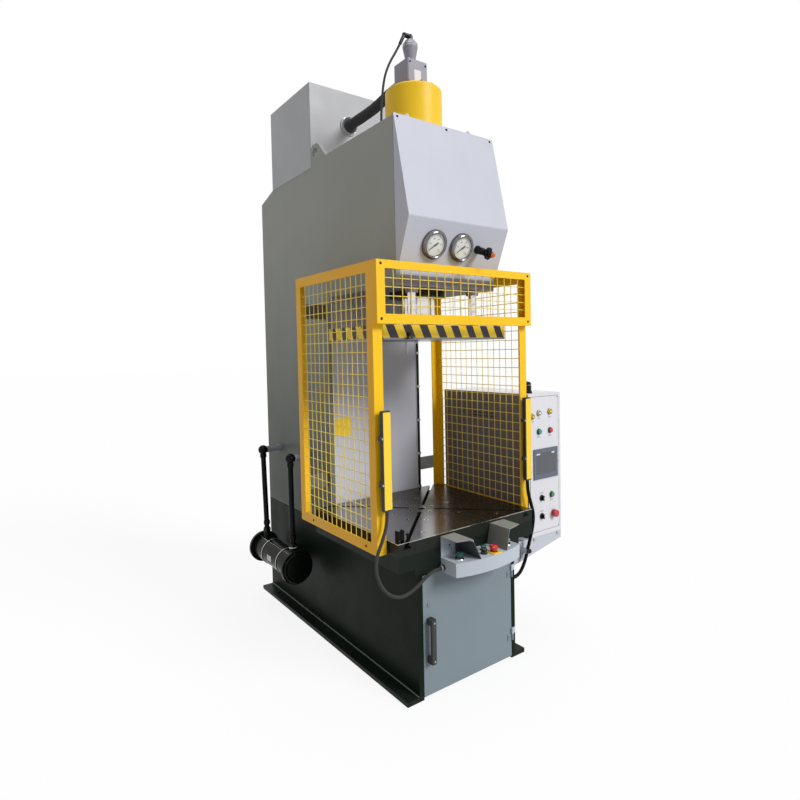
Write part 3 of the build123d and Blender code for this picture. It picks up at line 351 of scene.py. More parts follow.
@dataclass(frozen=True)
class Metal(Finish):
    """Bare metal: ground, turned or plated, with fine scratches along one axis and stains."""

    colour: Colour
    roughness: float = 0.3
    grain: tuple[float, float, float] = (6.0, 300.0, 300.0)
    scratch: float = 0.10
    stain: Colour = (90, 78, 66)
    stained: float = 0.15
    bump: float = 0.12

    def build(self, graph: Graph) -> bpy.types.Material:
        """Grain is noise squeezed along one axis; stains are broad noise that tints and dulls.

        Args:
            graph: the material's node tree, still empty.

        Returns:
            The finished material.
        """
        lines = graph.noise(1.0, 5.0, 0.65, graph.stretched(self.grain))
        cloud = graph.noise(5.0, 5.0, 0.6)
        tint = cloud.ramp(0.45, 0.8, 0.0, self.stained)
        colour = graph.mix(tint, linear(self.colour), linear(self.stain))
        colour = graph.shade(colour, lines.ramp(0.25, 0.75, 1.0 - self.scratch, 1.0 + self.scratch * 0.6))
        rough = lines.ramp(0.3, 0.7, self.roughness - 0.06, self.roughness + 0.08) + tint * 0.5
        normal = graph.bump(lines, self.bump, 0.0003)
        return graph.surface(Base_Color=colour, Roughness=rough, Metallic=1.0, Normal=normal)


@dataclass(frozen=True)
class Plastic(Finish):
    """Moulded plastic or rubber with a fine grain and faint handling marks."""

    colour: Colour
    roughness: float = 0.45
    grain: float = 0.15
    grain_scale: float = 900.0
    wear: float = 0.06
    coat: float = 0.0
    specular: float = 0.5

    def build(self, graph: Graph) -> bpy.types.Material:
        """Grain is tight noise; marks are broader noise on colour and gloss.

        Args:
            graph: the material's node tree, still empty.

        Returns:
            The finished material.
        """
        marks = graph.noise(26.0, 5.0, 0.6)
        colour = graph.shade(linear(self.colour), marks.ramp(0.3, 0.7, 1.0 - self.wear, 1.0 + self.wear))
        rough = marks.ramp(0.3, 0.75, self.roughness - 0.04, self.roughness + 0.10)
        normal = graph.bump(graph.noise(self.grain_scale, 2.0), self.grain, 0.0003)
        return graph.surface(
            Base_Color=colour, Roughness=rough, Normal=normal, Coat_Weight=self.coat,
            Specular_IOR_Level=self.specular,
        )


@dataclass(frozen=True)
class Clear(Finish):
    """Thin clear glass or lens, tinted, with faint wipe marks."""

    colour: Colour = (240, 244, 244)
    alpha: float = 0.05

    def build(self, graph: Graph) -> bpy.types.Material:
        """Alpha keeps what lies behind in sight; smears only change the gloss.

        Args:
            graph: the material's node tree, still empty.

        Returns:
            The finished material.
        """
        smear = graph.noise(30.0, 4.0).ramp(0.35, 0.8, 0.03, 0.14)
        veil = graph.noise(18.0, 3.0).ramp(0.4, 0.8, self.alpha, self.alpha + 0.03)
        return graph.surface(
            Base_Color=linear(self.colour), Roughness=smear, Alpha=veil, Specular_IOR_Level=0.3
        )


@dataclass(frozen=True)
class Stripes(Finish):
    """Slanting yellow and black warning stripes painted on the slide's edge faces, under bare steel."""

    yellow: Colour = (255, 218, 46)
    black: Colour = (40, 35, 50)
    steel: Colour = (132, 130, 128)
    top: float = 1.745
    bottom: float = 1.684
    pitch: float = 0.1

    def build(self, graph: Graph) -> bpy.types.Material:
        """Stripes repeat along x plus y, shifted by z, so that they lean; scuffs show the steel.

        Args:
            graph: the material's node tree, still empty.

        Returns:
            The finished material.
        """
        lean = graph.axis("x") - graph.axis("y") + graph.axis("z") * 0.45
        phase = (lean / self.pitch).math("FRACT")
        mark = phase > 0.5
        paint = graph.mix(mark, linear(self.yellow), linear(self.black))
        level = graph.axis("z")
        inside = (level < self.top) * (level > self.bottom)
        scuff = (graph.noise(55.0, 5.0, 0.65) > 0.69) * inside
        lines = graph.noise(1.0, 4.0, 0.6, graph.stretched((4.0, 240.0, 240.0)))
        steel = graph.shade(linear(self.steel), lines.ramp(0.3, 0.7, 0.8, 1.05))
        covered = inside - scuff
        colour = graph.mix(covered, steel, paint)
        rough = covered * 0.15 + 0.28
        bare = 1 - covered
        normal = graph.bump(graph.noise(300.0, 2.0), 0.1, 0.0005)
        return graph.surface(Base_Color=colour, Roughness=rough, Metallic=bare, Normal=normal)


@dataclass(frozen=True)
class Plate(Finish):
    """Ground table plate: cross-hatched grinding marks, painted brown reflection, a bright worn top edge that
    is partly a painted highlight, and darker sides.
    """

    top: float = 0.766
    colour: Colour = (152, 151, 152)
    brown: Colour = (84, 74, 63)
    side: Colour = (30, 33, 28)

    def build(self, graph: Graph) -> bpy.types.Material:
        """The side colour holds below the top by 2.5 mm; grain runs along y; a painted brown reflection browns
        the plate towards x.

        Args:
            graph: the material's node tree, still empty.

        Returns:
            The finished material.
        """
        lines = graph.noise(1.0, 5.0, 0.65, graph.stretched((260.0, 4.0, 260.0)))
        # Painted reflection: the polished top browns towards x, where it mirrored the dark parts round it.
        brown_reflection = (graph.axis("x") + graph.axis("y") * 0.3 + graph.noise(3.2, 5.0, 0.6) * 0.3).ramp(-0.25, 0.3)
        steel = graph.mix(brown_reflection, linear(self.colour), linear(self.brown))
        steel = graph.shade(steel, lines.ramp(0.25, 0.75, 0.9, 1.06))
        below = graph.axis("z") < self.top - 0.0025
        rust = graph.noise(22.0, 5.0, 0.62).ramp(0.5, 0.8, 0.0, 0.2)
        flank = graph.mix(rust, linear(self.side), linear((62, 54, 44)))
        colour = graph.mix(below, steel, flank)
        rough = lines.ramp(0.3, 0.7, 0.13, 0.24) + brown_reflection * 0.08 + below * 0.25
        normal = graph.bump(lines, 0.08, 0.0003)
        return graph.surface(
            Base_Color=colour, Roughness=rough, Metallic=1 - below, Normal=normal, Specular_IOR_Level=0.15
        )


@dataclass(frozen=True)
class Barrel(Finish):
    """Cylinder paint that stops at the head's underside, where the gland is bare dark steel."""

    split: float = 1.94

    def build(self, graph: Graph) -> bpy.types.Material:
        """Yellow above the split, oiled dark steel below it.

        Args:
            graph: the material's node tree, still empty.

        Returns:
            The finished material.
        """
        bare = graph.axis("z") < self.split
        film = graph.noise(4.0, 4.0).ramp(0.35, 0.8, 0.0, 0.12)
        paint = graph.mix(film, linear((250, 204, 34)), linear((214, 150, 20)))
        steel = graph.shade(linear((48, 42, 38)), graph.noise(30.0, 4.0).ramp(0.3, 0.7, 0.8, 1.2))
        colour = graph.mix(bare, paint, steel)
        rough = graph.noise(9.0, 4.0).ramp(0.3, 0.7, 0.36, 0.46)
        normal = graph.bump(graph.noise(380.0, 2.0), 0.1, 0.0005)
        return graph.surface(
            Base_Color=colour, Roughness=rough, Metallic=bare, Normal=normal, Specular_IOR_Level=0.3
        )


@dataclass(frozen=True)
class Screen(Finish):
    """A lit touch panel: dark blue-grey glass with two plain pale bars, no words."""

    x: tuple[float, float] = (0.577, 0.747)
    z: tuple[float, float] = (0.914, 1.032)

    def build(self, graph: Graph) -> bpy.types.Material:
        """Bars are boxes in x and z; a faint grid of pixels breaks up the glass.

        Args:
            graph: the material's node tree, still empty.

        Returns:
            The finished material.
        """
        across = (graph.axis("x") - self.x[0]) / (self.x[1] - self.x[0])
        up = (graph.axis("z") - self.z[0]) / (self.z[1] - self.z[0])
        bars = (across > 0.03) * (across < 0.2) * (up > 0.93) * (up < 0.975)
        bars = bars + (across > 0.78) * (across < 0.93) * (up > 0.93) * (up < 0.975)
        panes = (across * 8.0).math("FRACT").ramp(0.0, 0.06) * (up * 5.0).math("FRACT").ramp(0.0, 0.08)
        base = graph.mix(panes, linear((56, 60, 68)), linear((64, 69, 78)))
        colour = graph.mix(bars, base, linear((226, 230, 234)))
        smear = graph.noise(34.0, 4.0).ramp(0.4, 0.8, 0.08, 0.24)
        glow = graph.shade(colour, bars * 0.5 + 0.12)
        return graph.surface(
            Base_Color=colour, Roughness=smear, Coat_Weight=0.6, Emission_Color=glow, Emission_Strength=0.5
        )


LIGHT_GREY = Paint(
    "light_grey_paint", (200, 202, 213), lower=(28, 36, 30), split=0.634, roughness=0.38, specular=0.15
)
# The side plates get a darker copy of the frame grey, and a painted shade that deepens towards the bottom.
SHADED_SIDE_GREY = Paint(
    "side_grey_painted_shade", (168, 170, 163), lower=(22, 31, 24), split=0.634, roughness=0.36, specular=0.05,
    shade_depth=0.74, tint=(80, 88, 84),
)
DARK_GREEN = Paint("dark_machine_paint", (26, 34, 29), roughness=0.36, specular=0.08, chips=0.04)
# Paler than the dark paint of the base: a painted highlight along the foot of the side plates.
BEAD_GREY = Paint("weld_bead_paint", (120, 128, 122), roughness=0.4, specular=0.3)
# A darker copy of the frame grey: painted shade on the head's underside.
HEAD_SHADE_GREY = Paint("head_underside", (150, 146, 158), roughness=0.5, mottle=0.1)
# A darker copy of the frame grey: painted shade on the pedestal door under the table.
SHADED_DOOR_GREY = Paint("door_paint", (128, 141, 148), roughness=0.4, specular=0.25)
TANK_GREY = Paint("tank_paint", (182, 183, 186), roughness=0.38, specular=0.25)
YELLOW_PLATE = Paint("yellow_plate_paint", (244, 208, 60), roughness=0.4)
BARE_PLATE = Paint("bare_white_plate", (222, 222, 226), roughness=0.35)
CYLINDER_YELLOW = Barrel("cylinder_paint")
# Its zone is painted shade: a deeper orange on the outer face of the left guard, turned away from the key lamp.
GUARD_YELLOW = Paint(
    "guard_yellow_paint", (255, 203, 26), roughness=0.4, chips=0.04, under=(96, 80, 52),
    specular=0.3, zones=(("x", -1.0, -0.4975, (250, 184, 14)),),
)
# The wires are a paler lemon than the frames, made lighter still as painted light against the shade inside the
# guard.
WIRE_YELLOW = Paint("wire_yellow_paint", (255, 226, 96), roughness=0.36, mottle=0.05)
CURTAIN_YELLOW = Paint("curtain_yellow_paint", (255, 216, 52), roughness=0.25, coat=0.3)
# Its zone is painted shade: the cabinet's left side, shaded by the machine, is a dark grey.
CABINET_WHITE = Paint(
    "cabinet_powder_coat", (226, 226, 232), roughness=0.46, peel=0.2, mottle=0.02, grime=0.02, specular=0.25,
    zones=(("x", 0.3, 0.5215, (118, 112, 116)),),
)
GUSSET_GREY = Paint("gusset_powder_coat", (198, 203, 212), roughness=0.44, peel=0.2, mottle=0.02)
CONSOLE_GREY = Paint(
    "console_powder_coat", (188, 196, 206), roughness=0.42, peel=0.2, mottle=0.03, specular=0.25
)
# Its zones are painted shade: a darker roof, a very dark slanted inner wall on the left shroud and a dimmer
# wall on the right one.
SHROUD_GREY = Paint(
    "shroud_powder_coat", (184, 191, 204), roughness=0.42, peel=0.2, mottle=0.03, specular=0.25,
    zones=(
        ("z", 0.7505, 1.0, (146, 148, 144)),
        ("x", -0.108, 0.0, (66, 72, 72)),
        ("x", 0.0, 0.1265, (128, 130, 126)),
    ),
)
# Its zone is painted shade: the brackets left of the frame are dark, as they lie in shade behind the left mesh.
BRACKET_GREY = Paint(
    "bracket_paint", (190, 196, 206), roughness=0.42, zones=(("x", -1.0, -0.3, (104, 104, 100)),)
)
PIPE_BLACK = Paint(
    "pipe_black_paint", (12, 15, 13), roughness=0.22, specular=0.1, zones=(("x", -0.424, 0.0, (150, 155, 166)),)
)
VALVE_GREY = Paint("valve_block_steel", (152, 149, 162), roughness=0.42, mottle=0.06, grime=0.06)
GAUGE_STEEL = Metal("gauge_case_steel", (118, 117, 118), roughness=0.15, grain=(90.0, 90.0, 90.0), bump=0.03)
CHROME = Metal(
    "hard_chrome", (225, 226, 228), roughness=0.09, grain=(300.0, 300.0, 5.0), scratch=0.03, stained=0.02
)
ZINC = Metal("zinc_plate", (190, 190, 184), roughness=0.32, grain=(90.0, 90.0, 90.0), bump=0.05)
BLACK_OXIDE = Metal(
    "black_oxide_steel", (46, 46, 48), roughness=0.36, grain=(120.0, 120.0, 120.0), stained=0.05
)
BLACK_PLASTIC = Plastic("black_plastic", (18, 18, 19), roughness=0.34, specular=0.15)
BLACK_GLOSS = Plastic("black_gloss_plastic", (12, 12, 13), roughness=0.2, coat=0.1, specular=0.2)
RUBBER = Plastic("hose_rubber", (12, 12, 13), roughness=0.22, grain=0.1, specular=0.06)
CONDUIT = Plastic("black_conduit", (10, 11, 11), roughness=0.2, specular=0.1)
FORK_BLACK = Plastic("fork_black", (20, 20, 19), roughness=0.4, specular=0.06)
BEZEL_GREY = Plastic("screen_bezel", (98, 110, 130), roughness=0.4)
DIAL_WHITE = Plastic("dial_white", (236, 236, 232), roughness=0.6, grain=0.05)
DIAL_INK = Plastic("dial_ink", (18, 18, 20), roughness=0.6, grain=0.05)
RED = Plastic("red_button", (196, 28, 24), roughness=0.25, coat=0.4)
GREEN = Plastic("green_button", (24, 128, 84), roughness=0.25, coat=0.4)
TEAL = Plastic("teal_button", (20, 140, 134), roughness=0.25, coat=0.4)
PALM_TEAL = Plastic("palm_teal", (22, 84, 74), roughness=0.26, coat=0.4)
PALM_GREY = Plastic("palm_grey", (150, 152, 152), roughness=0.3, coat=0.3)
YELLOW_PLASTIC = Plastic("yellow_plastic", (250, 205, 40), roughness=0.35, coat=0.2)
ORANGE = Plastic("orange_grip", (222, 96, 30), roughness=0.35, coat=0.2)
AMBER = Plastic("amber_lens", (250, 196, 50), roughness=0.2, coat=0.5)
YELLOW_LENS = Plastic("yellow_lens", (255, 226, 70), roughness=0.2, coat=0.5)
WHITE_LENS = Plastic("white_lens", (240, 238, 228), roughness=0.2, coat=0.5)
WHITE_PLASTIC = Plastic("white_plastic", (236, 236, 236), roughness=0.35)
COOLER_BLACK = Paint("cooler_black_paint", (16, 22, 16), roughness=0.2, coat=0.05, specular=0.08)
MOTOR_BLUE = Paint("motor_paint", (44, 74, 110), roughness=0.4)
SEAM = Plastic("seam_shadow", (40, 42, 44), roughness=0.7)
SILVER_PLATE = Metal("legend_aluminium", (196, 198, 200), roughness=0.34, grain=(200.0, 8.0, 8.0))
WIRE_END = Paint("wire_end_brown", (120, 84, 30), roughness=0.5)
LEVEL_TUBE = Clear("level_tube_glass", (226, 214, 150), 0.5)
CLEAR = Clear("clear_glass")
PLATE_STEEL = Plate("ground_table_plate")
SCREEN = Screen("touch_glass")


# Numpy shapes


@dataclass
class Shape:
    """Vertices in millimetres and faces of one or more surfaces."""

    verts: Array
    faces: list[tuple[int, ...]]

    def __add__(self, other: "Shape") -> "Shape":
        """Both shapes as one.

        Args:
            other: the shape that is added.

        Returns:
            One shape, with this one's vertices first.
        """
        start = len(self.verts)
        moved = [tuple(i + start for i in f) for f in other.faces]
        return Shape(np.vstack([self.verts, other.verts]), self.faces + moved)

    def placed(self, origin: Sequence[float], x: Sequence[float], y: Sequence[float]) -> "Shape":
        """The shape with its own axes laid along x, y and their cross product, from origin.

        Args:
            origin: where its own origin goes.
            x: direction of its own X.
            y: direction of its own Y.

        Returns:
            The placed shape.
        """
        ex = unit(np.asarray(x, float))
        ey = unit(np.asarray(y, float))
        turn = np.stack([ex, ey, np.cross(ex, ey)])
        return Shape(self.verts @ turn + np.asarray(origin, float), self.faces)

    def facing(self, origin: Sequence[float], normal: Sequence[float]) -> "Shape":
        """The shape with its own Z along a normal, and its own Y as far up as it can be.

        Args:
            origin: where its own origin goes.
            normal: direction of its own Z.

        Returns:
            The placed shape.
        """
        n = unit(np.asarray(normal, float))
        across = np.array([1.0, 0.0, 0.0]) if abs(n[2]) > 0.99 else np.cross([0.0, 0.0, 1.0], n)
        return self.placed(origin, across, np.cross(n, unit(across)))

    def moved(self, dx: float, dy: float, dz: float) -> "Shape":
        """The shape shifted."""
        return Shape(self.verts + np.array([dx, dy, dz]), self.faces)


def unit(v: Array) -> Array:
    """A vector scaled to length one, row by row."""
    return v / np.linalg.norm(v, axis=-1, keepdims=True)


def circle(steps: int) -> Array:
    """Angles of even steps round a circle, from 0."""
    return np.arange(steps) * 2 * np.pi / steps


def xyz(x: "float | Array", y: "float | Array", z: "float | Array") -> Array:
    """Points from three coordinates, each one number or an array of them."""
    return np.stack(np.broadcast_arrays(x, y, z), axis=-1)


def hoops(n: Array, b: Array, sides: int) -> Array:
    """A unit circle at each point, n cos a + b sin a, as an array of shape (points, sides, 3)."""
    a = circle(sides)[None, :, None]
    return n[:, None] * np.cos(a) + b[:, None] * np.sin(a)


def join(shapes: Sequence[Shape]) -> Shape:
    """Several shapes as one, stacked in order.

    Args:
        shapes: the shapes, in order.

    Returns:
        One shape.
    """
    starts = np.cumsum([0] + [len(s.verts) for s in shapes])
    faces: list[tuple[int, ...]] = []
    for start, shape in zip(starts, shapes):
        faces.extend(tuple(i + int(start) for i in f) for f in shape.faces)
    return Shape(np.vstack([s.verts for s in shapes]), faces)


def lattice(points: Array, wrap_u: bool = False, wrap_v: bool = False, cap: bool = False) -> Shape:
    """A surface over a grid of points, point[i, j] = f(u_i, v_j).

    Args:
        points: array of shape (nu, nv, 3).
        wrap_u: whether the last row joins the first.
        wrap_v: whether the last column joins the first.
        cap: whether the first and last rows are closed by a face.

    Returns:
        The surface, with four-cornered faces.
    """
    nu, nv = points.shape[:2]
    index = np.arange(nu * nv).reshape(nu, nv)
    low = index if wrap_u else index[:-1]
    high = np.roll(index, -1, axis=0) if wrap_u else index[1:]
    if wrap_v:
        a, b, c, d = low, np.roll(low, -1, axis=1), np.roll(high, -1, axis=1), high
    else:
        a, b, c, d = low[:, :-1], low[:, 1:], high[:, 1:], high[:, :-1]
    quads = np.stack([a, b, c, d], axis=-1).reshape(-1, 4)
    faces = [tuple(q) for q in quads.tolist()]
    if cap:
        faces.append(tuple(index[0][::-1].tolist()))
        faces.append(tuple(index[-1].tolist()))
    return Shape(points.reshape(-1, 3).astype(float), faces)


def lathe(profile: Sequence[tuple[float, float]], sides: int = 32) -> Shape:
    """A turned shape: each profile point (r, h) goes round the Z axis.

    The point at angle a is (r cos a, r sin a, h). Ends with a small radius are capped.

    Args:
        profile: radius and height pairs from bottom to top.
        sides: number of steps round the axis.

    Returns:
        The closed shape.
    """
    r, h = np.array(profile, float).T
    angle = circle(sides)
    points = xyz(r[:, None] * np.cos(angle), r[:, None] * np.sin(angle), h[:, None])
    return lattice(points, wrap_v=True, cap=True)


def prism(outline: Sequence[tuple[float, float]], height: float, bevel: float = 0.0) -> Shape:
    """An outline in XY raised along Z, with its top edge bevelled.

    Rings at heights 0, height - bevel and height; the last is shrunk towards the middle by the bevel.

    Args:
        outline: corner points, anticlockwise.
        height: how far it rises.
        bevel: size of the bevel on the top edge.

    Returns:
        The closed shape.
    """
    flat = np.array(outline, float)
    ahead = unit(np.roll(flat, -1, axis=0) - flat)
    behind = np.roll(ahead, 1, axis=0)
    inward = np.stack([-ahead[:, 1], ahead[:, 0]], axis=-1) + np.stack([-behind[:, 1], behind[:, 0]], axis=-1)
    scale = 2.0 / np.maximum(np.sum(inward * inward, axis=-1, keepdims=True), 0.3)
    levels = [(0.0, 0.0), (height - bevel, 0.0), (height, bevel)] if bevel else [(0.0, 0.0), (height, 0.0)]
    rings = [np.column_stack([flat + inward * scale * shrink, np.full(len(flat), z)]) for z, shrink in levels]
    return lattice(np.stack(rings), wrap_v=True, cap=True)


def rounded(w: float, d: float, r: float) -> list[Spot]:
    """Corner points of a rectangle w by d, centred, with corners of radius r in four steps each.

    Args:
        w: size along X.
        d: size along Y.
        r: corner radius.

    Returns:
        The points, anticlockwise.
    """
    turns = np.linspace(0, np.pi / 2, 5)
    cw, cd = w / 2 - r, d / 2 - r
    corners = [(cw, cd, 0.0), (-cw, cd, 0.5), (-cw, -cd, 1.0), (cw, -cd, 1.5)]
    out = []
    for cx, cy, quarter in corners:
        a = turns + quarter * np.pi
        out.extend(zip((cx + r * np.cos(a)).tolist(), (cy + r * np.sin(a)).tolist()))
    return out


def polygon(sides: int, r: float) -> list[Spot]:
    """Corner points of a regular polygon with corner radius r."""
    a = circle(sides)
    return list(zip((r * np.cos(a)).tolist(), (r * np.sin(a)).tolist()))


def tube(path: Array, radius: "float | Array", sides: int = 16) -> Shape:
    """A round tube along a path, its frame carried from point to point.

    The point at step i and angle a is p_i + r_i (n_i cos a + b_i sin a), with n and b square to the path.

    Args:
        path: centre points, shape (n, 3).
        radius: one radius or one for each point.
        sides: number of steps round.

    Returns:
        The closed tube.
    """
    path = np.asarray(path, float)
    ahead = unit(np.gradient(path, axis=0))
    normals = np.empty_like(path)
    seed = np.array([0.0, 0.0, 1.0]) if abs(ahead[0, 2]) < 0.9 else np.array([1.0, 0.0, 0.0])
    last = unit(seed - ahead[0] * (seed @ ahead[0]))
    for i, t in enumerate(ahead):
        last = unit(last - t * (last @ t))
        normals[i] = last
    sideways = np.cross(ahead, normals)
    r = np.broadcast_to(np.asarray(radius, float), (len(path),))
    ring = hoops(normals, sideways, sides) * r[:, None, None]
    return lattice(path[:, None] + ring, wrap_v=True, cap=True)


def bead(path: Array, width: float) -> Shape:
    """A weld bead: a tube whose radius at step k is width (1 + 0.12 sin(k pi / 2)).

    Args:
        path: centre line, of which only the two ends count.
        width: mean radius.

    Returns:
        The bead.
    """
    path = np.asarray(path, float)
    total = float(np.linalg.norm(path[-1] - path[0]))
    steps = max(8, int(total / 3.5))
    t = np.linspace(0, 1, steps)[:, None]
    line = path[0] * (1 - t) + path[-1] * t
    ripple = 1 + 0.12 * np.sin(np.arange(steps) * np.pi / 2)
    return tube(line, width * ripple, 8)


def rods(starts: Array, ends: Array, radius: float, sides: int = 8) -> Shape:
    """Straight round bars between pairs of points, all in one array.

    The point of bar k at end e and angle a is e_k + radius (n_k cos a + b_k sin a).

    Args:
        starts: one end of each bar, shape (n, 3).
        ends: the other end of each bar.
        radius: radius of every bar.
        sides: number of steps round.

    Returns:
        All the bars as one shape.
    """
    ahead = unit(ends - starts)
    seed = np.where(np.abs(ahead[:, 2:3]) > 0.9, [[1.0, 0.0, 0.0]], [[0.0, 0.0, 1.0]])
    n = unit(seed - ahead * np.sum(seed * ahead, axis=1, keepdims=True))
    bars = zip(starts, ends, hoops(n, np.cross(ahead, n), sides) * radius)
    return join([lattice(np.stack([p + r, q + r]), wrap_v=True, cap=True) for p, q, r in bars])


def slab(lo: Sequence[float], hi: Sequence[float], r: float = 2.0, bevel: float = 0.8) -> Shape:
    """A block between two corners, with upright edges of radius r and a bevelled top.

    Args:
        lo: its lowest corner.
        hi: its highest corner.
        r: radius of the upright edges.
        bevel: size of the bevel on the top edge.

    Returns:
        The block.
    """
    lo, hi = np.asarray(lo, float), np.asarray(hi, float)
    w, d, h = hi - lo
    shape = prism(rounded(w, d, min(r, w / 2.01, d / 2.01)), h, bevel)
    return shape.moved(*((lo + hi) / 2 * [1, 1, 0] + [0, 0, lo[2]]))


def plate(w: float, h: float, t: float, r: float = 3.0) -> Shape:
    """A thin plate w by h with rounded corners, standing t along Z with a broken edge."""
    return prism(rounded(w, h, r), t, min(0.5, t * 0.4))


def meshed(carrier: bpy.types.Object) -> Shape:
    """Vertices and faces of a curve object, in its own units; the object is removed.

    Args:
        carrier: the curve or text object.

    Returns:
        Its mesh as a shape.
    """
    mesh = bpy.data.meshes.new_from_object(carrier)
    verts = np.empty(len(mesh.vertices) * 3)
    mesh.vertices.foreach_get("co", verts)
    shape = Shape(verts.reshape(-1, 3), [tuple(p.vertices) for p in mesh.polygons])
    bpy.data.objects.remove(carrier)
    bpy.data.meshes.remove(mesh)
    return shape


def digits(text: str, size: float) -> Shape:
    """Numbers for a dial, as flat letters 0.2 mm thick, centred.

    Args:
        text: the number.
        size: height of the letters' body.

    Returns:
        The letters, lying in XY.
    """
    curve = bpy.data.curves.new("digits", "FONT")
    curve.body, curve.size, curve.extrude = text, size, 0.1
    curve.align_x, curve.align_y = "CENTER", "CENTER"
    return meshed(bpy.data.objects.new("digits", curve))


def ring_of(shape: Shape, count: int, r: float, first: float = 0.0) -> Shape:
    """Copies of a Z-standing shape set round a circle."""
    return join([shape.moved(r * math.cos(a), r * math.sin(a), 0) for a in first + circle(count)])


def hex_bolt(r: float, height: float) -> Shape:
    """A hexagon head on a washer, standing along Z.

    Args:
        r: corner radius of the hexagon.
        height: height of the head.

    Returns:
        The bolt head.
    """
    washer = lathe([(r * 1.25, 0), (r * 1.25, r * 0.16), (r * 1.18, r * 0.2)], 20)
    head = prism(polygon(6, r), height, r * 0.12).moved(0, 0, r * 0.2)
    return washer + head


def socket_bolt(r: float, height: float) -> Shape:
    """A cap screw: turned head with a sunk centre, standing along Z."""
    rim = [(r, 0), (r, height * 0.9), (r * 0.94, height)]
    return lathe(rim + [(r * 0.5, height), (r * 0.46, height * 0.45)], 24)


def pan_screw(r: float, height: float) -> Shape:
    """A domed screw head with a small sunk centre, h(r) = height sqrt(1 - (r/R)^2).

    Args:
        r: radius of the head.
        height: height of the dome.

    Returns:
        The screw head.
    """
    rr = np.linspace(1.0, 0.3, 6)
    dome = [(r * q, height * math.sqrt(max(0.0, 1 - q * q)) * 0.95 + 0.05 * height) for q in rr]
    return lathe([(r, 0)] + dome + [(r * 0.24, height * 0.55)], 18)


def grid(first: Sequence[float], second: Sequence[float]) -> list[Spot]:
    """Every pair of two rows of numbers, the first row slowest."""
    return [(a, b) for a in first for b in second]


def upright(shape: Shape, z: float, spots: Sequence[Spot]) -> list[Shape]:
    """Copies of a shape that stand at height z, one at each (x, y)."""
    return [shape.moved(x, y, z) for x, y in spots]


def fronts(shape: Shape, y: float, spots: Sequence[Spot]) -> list[Shape]:
    """Copies of a shape that face the operator at depth y, one at each (x, z)."""
    return [shape.facing((x, y, z), -Y) for x, z in spots]


def piece(
    name: str,
    shape: Shape,
    finish: Finish,
    body: str = BASE,
    replaces: Sequence[str] = (),
    smooth: float = 35.0,
) -> bpy.types.Object:
    """Makes one Blender piece from a shape, in metres, with its object at the origin.

    Args:
        name: the piece's name.
        shape: vertices in millimetres and faces.
        finish: the finish it gets.
        body: the CAD body it rides on.
        replaces: CAD nodes that it stands for.
        smooth: edges sharper than this angle in degrees stay sharp.

    Returns:
        The new object.
    """
    mesh = bpy.data.meshes.new(name)
    mesh.from_pydata((shape.verts * MM).tolist(), [], shape.faces)
    mesh.validate()
    mesh.polygons.foreach_set("use_smooth", np.ones(len(mesh.polygons), bool))
    mesh.set_sharp_from_angle(angle=math.radians(smooth))
    mesh.materials.append(finish.material())
    made = bpy.data.objects.new(name, mesh)
    bpy.context.scene.collection.objects.link(made)
    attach(made, body)
    if replaces:
        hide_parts(*replaces)
    return made


def dress(finish: Finish, *nodes: str) -> None:
    """Gives CAD nodes a finish.

    Args:
        finish: the finish.
        nodes: names of the nodes.
    """
    for name in nodes:
        mesh = frame["nodes"][name].data
        mesh.materials.clear()
        mesh.materials.append(finish.material())


# Sub-assemblies


class Side(Enum):
    """Which side of the machine, as seen by the operator."""

    LEFT = -1
    RIGHT = 1


# Cord routes: two in metres, then two in millimetres
SUCTION_ROUTE = [
    (-0.06, 0.545, 2.983), (-0.06, 0.44, 2.983), (-0.03, 0.312, 3.01), (-0.005, 0.185, 3.06),
    (-0.005, 0.082, 3.06),
]
PILOT_TAIL = [
    (-0.14, 0.012, 3.112), (-0.179, 0.005, 3.03), (-0.199, 0.001, 2.935), (-0.212, -0.003, 2.822),
    (-0.212, -0.003, 2.715),
]
CABLE_ROUTE = [
    (-463, -344, 905), (-463, -344, 853), (-493, -350, 787), (-529, -357, 728), (-545, -368, 668),
    (-533, -382, 606), (-497, -395, 556), (-440, -405, 532), (-378, -410, 548), (-322, -412, 582),
    (-264, -412, 612), (-214, -412, 612),
]
CONDUIT_ROUTE = [
    (463, -344, 905), (463, -344, 850), (483, -349, 783), (504, -350, 712), (496, -347, 642), (479, -342, 580),
    (463, -337, 520), (446, -333, 462), (414, -331, 414), (376, -330, 396), (338, -330, 396),
]


